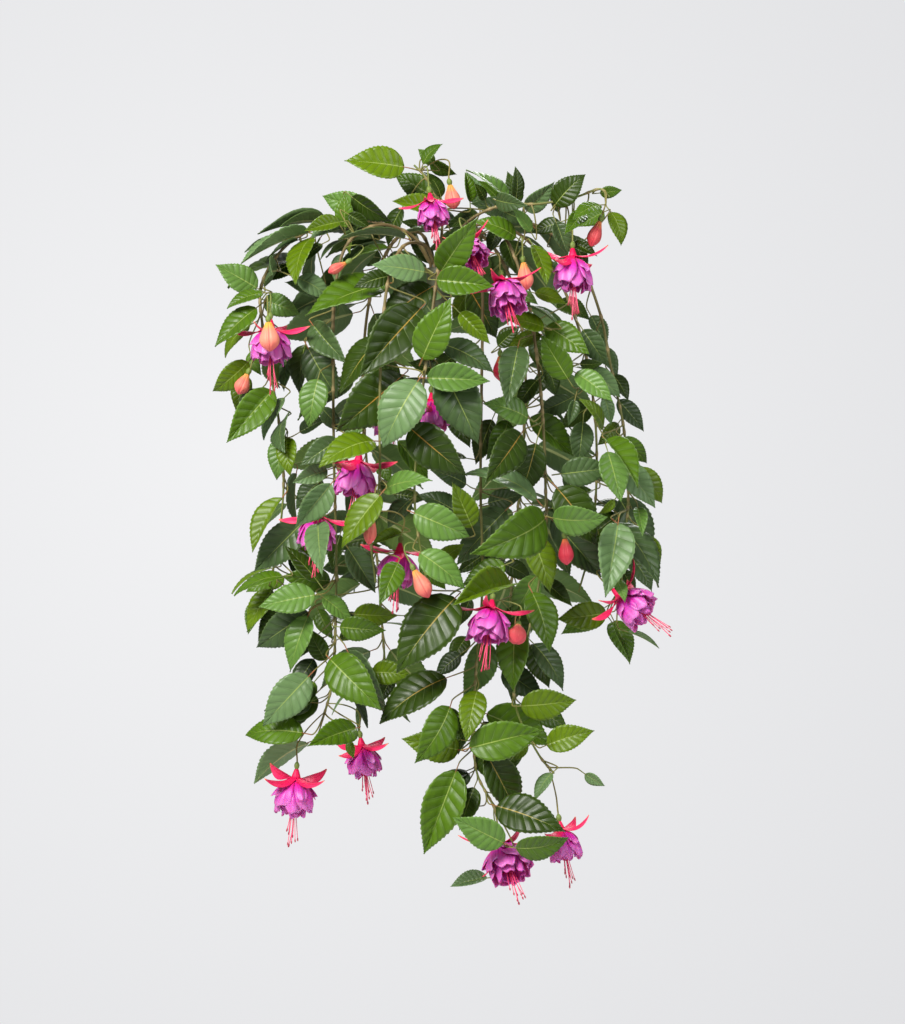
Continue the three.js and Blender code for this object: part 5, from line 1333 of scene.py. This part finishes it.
def sepal_grid(flower, k):
    """Points of one sepal, cupped, ribbed and twisted, the lower ones drooping over the petals."""
    u = np.linspace(0, 1, 19)
    v = np.linspace(-1, 1, 9)
    widths = np.interp(u, *SEPAL_WIDTHS)
    curl = 0.25 * next(chance)
    across = flower.across(k)
    droop = 0.08 + 0.42 * max(0, -np.cross(across, flower.axis)[1])
    turn = (1.1 if across[1] > 0 else -1.1) * (0.7 + 0.5 * next(chance))
    grid = np.zeros((len(u), len(v), 3))
    for i, share in enumerate(u):
        spine, normal = flower.sepal(k, share, 0, droop)
        a = turn * math.sin(0.5 * math.pi * share) ** 1.5
        wide = across * math.cos(a) + normal * math.sin(a)
        raised = normal * math.cos(a) - across * math.sin(a)
        half = SEPAL_HALF_WIDTH * SEPAL_FULLNESS * widths[i]
        for j, hand in enumerate(v):
            cup = 1.1 * (hand * hand - 0.4) * math.sin(math.pi * share)
            rib = 0.25 * math.cos(hand * 3 * math.pi)
            lift = cup + rib - 3.0 * curl * share ** 3
            grid[i, j] = spine + (wide * half * hand - raised * lift) * flower.size
    return grid, np.stack(np.broadcast_arrays(u[:, None], v, 1.0), 2).reshape(-1, 3)


for flower in blooms:
    s = flower.size
    body = Body("sepal")
    profile = [(reach * s, radius * s) for reach, radius in TUBE]
    tube = turned(flower.base, flower.axis, flower.one, flower.two, profile, 32, 8, 0.05)
    heights = (tube[0] - flower.base) @ flower.axis / (11 * s)
    body.take(tube, sepal=np.stack((0.12 * heights, 0.5 + 0 * heights, 0 * heights), 1))
    for k in range(4):
        grid, values = sepal_grid(flower, k)
        body.take(sheet(grid, SEPAL_THICKNESS), sepal=np.concatenate((values, values)))
    strands = Strands()
    for k in range(STAMENS + 1):
        style = k == STAMENS
        out = flower.out(0.4 + k * math.pi / 4 + 0.3 * math.sin(7 * k + flower.base[0]))
        length = (74 if style else 54 + 2.2 * k + 5 * next(chance)) * s
        lean = 2.0 if style else 3.5 + 3 * next(chance)
        root = flower.base + flower.axis * 10.5 * s + out * 1.2 * s * (not style)
        tip = flower.base + flower.axis * length + out * lean * s
        path = bowed(root, flower.axis, tip, unit(flower.axis + out * (0.25 * next(chance))), 5)
        strands.rod(path, STAMEN_RADIUS * (1.2 if style else 1), (0, 0, 0))
        end = unit(path[-1] - path[-2])
        side = unit(np.cross(end, flower.one))
        strands.bear(path[-1] - end * 0.4, (side, np.cross(end, side), end),
                     (1.3, 1.3, 1.1) if style else (1, 1, 1))
    hand_made = body.thing(f"{flower.name}.cup", calyx_finish)
    piece = grown(f"{flower.name}_cup_and_stamens", strands, 6, hand_made, anther_forms,
                  stamen_finish, anther_finish)
    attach(piece, "root")
    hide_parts(f"{flower.name}_calyx")
bpy.data.objects.remove(anther)

# The corollas.
# Satin fabric petals, cupped and ruffled with rounded ends, in layers on a ring that is pushed
# over the calyx's core: four outer, four inner, five longer ones inside and four short ones.
PETAL_RING = 6
PETAL_THICKNESS = 0.5
PETAL_WIDTHS = ((0, 0.2, 0.45, 0.7, 0.88, 1), (0.62, 0.82, 1.0, 1.06, 1.02, 0.9))
RING_SECTION = ((11, 3.8), (11, 5.6), (11.5, 6.2), (13.2, 6.2), (13.6, 5.6), (13.6, 3.8))
RING_SIDES = 24
# Layer, count, first angle, half spread, belly, reach and flare.
PETALS = ((0, 4, 0.0, 0.62, 19.5, 28, 1.0), (0, 4, 0.785, 0.6, 17.5, 31.5, 0.0),
          (1, 5, 0.4, 0.62, 12.5, 34, -1.5), (0, 4, 0.39, 0.36, 18.5, 17, 4.0))

petal_finish = Finish("petal_satin", Roughness=0.42, Specular_IOR_Level=0.35, Sheen_Weight=0.08,
                      Subsurface_Weight=0.25, Subsurface_Scale=0.003)
reach, place, layer = petal_finish.parts("petal")
off = place.sum("ABSOLUTE", place)
mottle = petal_finish.noise(90.0, detail=3.0)
grain = petal_finish.noise(800.0, detail=2.0)
violet = petal_finish.coated(
    petal_finish.mix(mottle, (0.46, 0.004, 0.25), (0.54, 0.025, 0.38)),
    ((reach + mottle * 0.4 - 0.2).step(0.45, 1.0) * 0.75, (0.57, 0.17, 0.46)),
    ((1 - reach.step(0.05, 0.5)) * 0.9, (0.66, 0.0, 0.16)),
    (((off - 0.1) * reach).step(0.5, 0.9) * 0.6, (0.66, 0.33, 0.58)),
    (layer.step(0.5, 1.5) * 0.5, (0.46, 0.0, 0.30)))
petal_finish.feed(Base_Color=violet, Roughness=0.32 + grain * 0.2)
petal_finish.bump(grain * 0.3 + mottle * 0.5 + (place * 14).sum("SINE", place * 14) * 0.4, 0.4, 0.0006)


def petal_grid(flower, angle, spread, belly, reach, flare, natures):
    """Points of one petal, from the ring to its ruffled end."""
    s = np.linspace(0, 1, 14)[:, None]
    t = np.linspace(-1, 1, 11)[None, :]
    u = s * (1 - 0.21 * np.abs(t) ** 2.8)
    width = np.interp(s, *PETAL_WIDTHS)
    radius = PETAL_RING + (belly - PETAL_RING) * np.sin(0.5 * math.pi * np.minimum(1, u / 0.8)) ** 0.75
    radius = radius + flare * np.clip(u - 0.45, 0, 1) ** 1.5 * 2.4
    along = 12.3 + reach * u ** 1.1
    folds = 1.1 * np.cos(4.2 * t + 6 * natures[0]) * np.sin(0.5 * math.pi * u) - 1.3 * t ** 2 * u
    ruffle = 2.3 * u ** 3 * np.sin(6.2 * t + 6 * natures[1]) * (0.4 + 0.6 * np.abs(t))
    radius = radius + folds + ruffle + 1.0 * t * u
    along = along + 1.3 * u ** 3 * np.sin(5.0 * t + 6 * natures[0])
    round_it = angle + t * width * spread * (PETAL_RING + belly) / (PETAL_RING + radius)
    out = flower.one * np.cos(round_it)[..., None] + flower.two * np.sin(round_it)[..., None]
    grid = flower.base + (flower.axis * along[..., None] + out * radius[..., None]) * flower.size
    return grid, np.stack(np.broadcast_arrays(u, t, 0.0), 2)


def core_ring(flower):
    """A closed ring of the section above round the flower's axis."""
    angles = np.arange(RING_SIDES) * 2 * math.pi / RING_SIDES
    out = flower.one * np.cos(angles)[:, None] + flower.two * np.sin(angles)[:, None]
    points = np.concatenate([flower.base + (flower.axis * reach + out * radius) * flower.size
                             for reach, radius in RING_SECTION])
    i = np.arange(len(points)).reshape(len(RING_SECTION), RING_SIDES)
    after, beside = np.roll(i, -1, 0), np.roll(i, -1, 1)
    return points, np.stack((i, beside, np.roll(after, -1, 1), after), 2).reshape(-1, 4).tolist()


for flower in blooms:
    body = Body("petal")
    body.take(core_ring(flower), petal=(0, 0, 0))
    for layer, count, first, spread, belly, reach, flare in PETALS:
        for k in range(count):
            natures = [next(chance) for _ in range(4)]
            angle = first + k * 2 * math.pi / count + 0.2 * (natures[2] - 0.5)
            own_reach = reach * (0.88 + 0.2 * natures[3])
            grid, values = petal_grid(flower, angle, spread, belly, own_reach, flare, natures)
            values = (values + (0, 0, layer)).reshape(-1, 3)
            within = values + (0, 0, 0.6)
            body.take(sheet(grid, PETAL_THICKNESS), petal=np.concatenate((values, within)))
    piece = body.thing(f"{flower.name}_petals", petal_finish)
    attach(piece, "root")
    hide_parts(f"{flower.name}_corolla")

# The buds.
# Teardrops of foam under satin fabric, with a seam between each two of the four closed
# sepals; yellow-orange at the neck, coral over the belly and redder at the point.
BUD_PROFILE = ((0, 0.30), (0.04, 0.36), (0.10, 0.42), (0.2, 0.56), (0.32, 0.74), (0.45, 0.91), (0.56, 0.99),
               (0.64, 1.0), (0.72, 0.94), (0.8, 0.8), (0.87, 0.60), (0.92, 0.41), (0.96, 0.24), (0.99, 0.10))
BUD_TONES = {"bud_01": 0.15, "bud_02": 0.8, "bud_03": 0.1, "bud_05": 0.3, "bud_06": 0.4, "bud_07": 0.2,
             "bud_08": 0.75, "bud_09": 0.95, "bud_10": 1.0, "bud_12": 0.0}
BUD_SIDES = 40
BUD_SEAM_DEPTH = 0.1

bud_finish = Finish("bud_satin", Roughness=0.45, Specular_IOR_Level=0.3, Sheen_Weight=0.06)
reach, seam, redder = bud_finish.parts("bud")
mottle = bud_finish.noise(110.0, detail=3.0)
grain = bud_finish.noise(900.0, detail=2.0)
neck = 1 - (reach + mottle * 0.3 - 0.15).step(0.02, 0.35)
coral = bud_finish.coated(
    bud_finish.mix(redder, (0.82, 0.24, 0.16), (0.42, 0.01, 0.035)),
    (neck * (1 - redder * 0.6), (0.84, 0.36, 0.05)),
    ((reach + mottle * 0.2).step(0.75, 1.1) * 0.7, (0.75, 0.06, 0.10)),
    ((1 - seam.step(0.0, 0.3)) * 0.6, (0.55, 0.03, 0.05)))
bud_finish.feed(Base_Color=coral, Roughness=0.42 + grain * 0.2)
bud_finish.bump(grain * 0.3 + mottle * 0.4 + (seam * 11).sum("SINE", seam * 11) * 0.5, 0.5, 0.0006)

for flower in buds:
    body = Body("bud")
    half = flower.width / 2
    profile = [(0.3 + reach * (flower.size - 0.3), radius * half) for reach, radius in BUD_PROFILE]
    points, faces = turned(flower.base, flower.axis, flower.one, flower.two, profile, BUD_SIDES)
    seams = np.abs(np.sin(np.arange(BUD_SIDES) * 4 * math.pi / BUD_SIDES)) ** 0.6
    heights = (points - flower.base) @ flower.axis / flower.size
    centre = flower.base + heights[:, None] * flower.axis * flower.size
    round_it = np.concatenate([seams] * len(profile) + [[1, 1]])
    points = centre + (points - centre) * (1 - BUD_SEAM_DEPTH + BUD_SEAM_DEPTH * round_it)[:, None]
    redness = np.full(len(points), BUD_TONES.get(flower.name, 0.5))
    body.take((points, faces), bud=np.stack((heights, round_it, redness), 1))
    piece = body.thing(f"{flower.name}_satin", bud_finish)
    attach(piece, "root")
    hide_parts(flower.name)
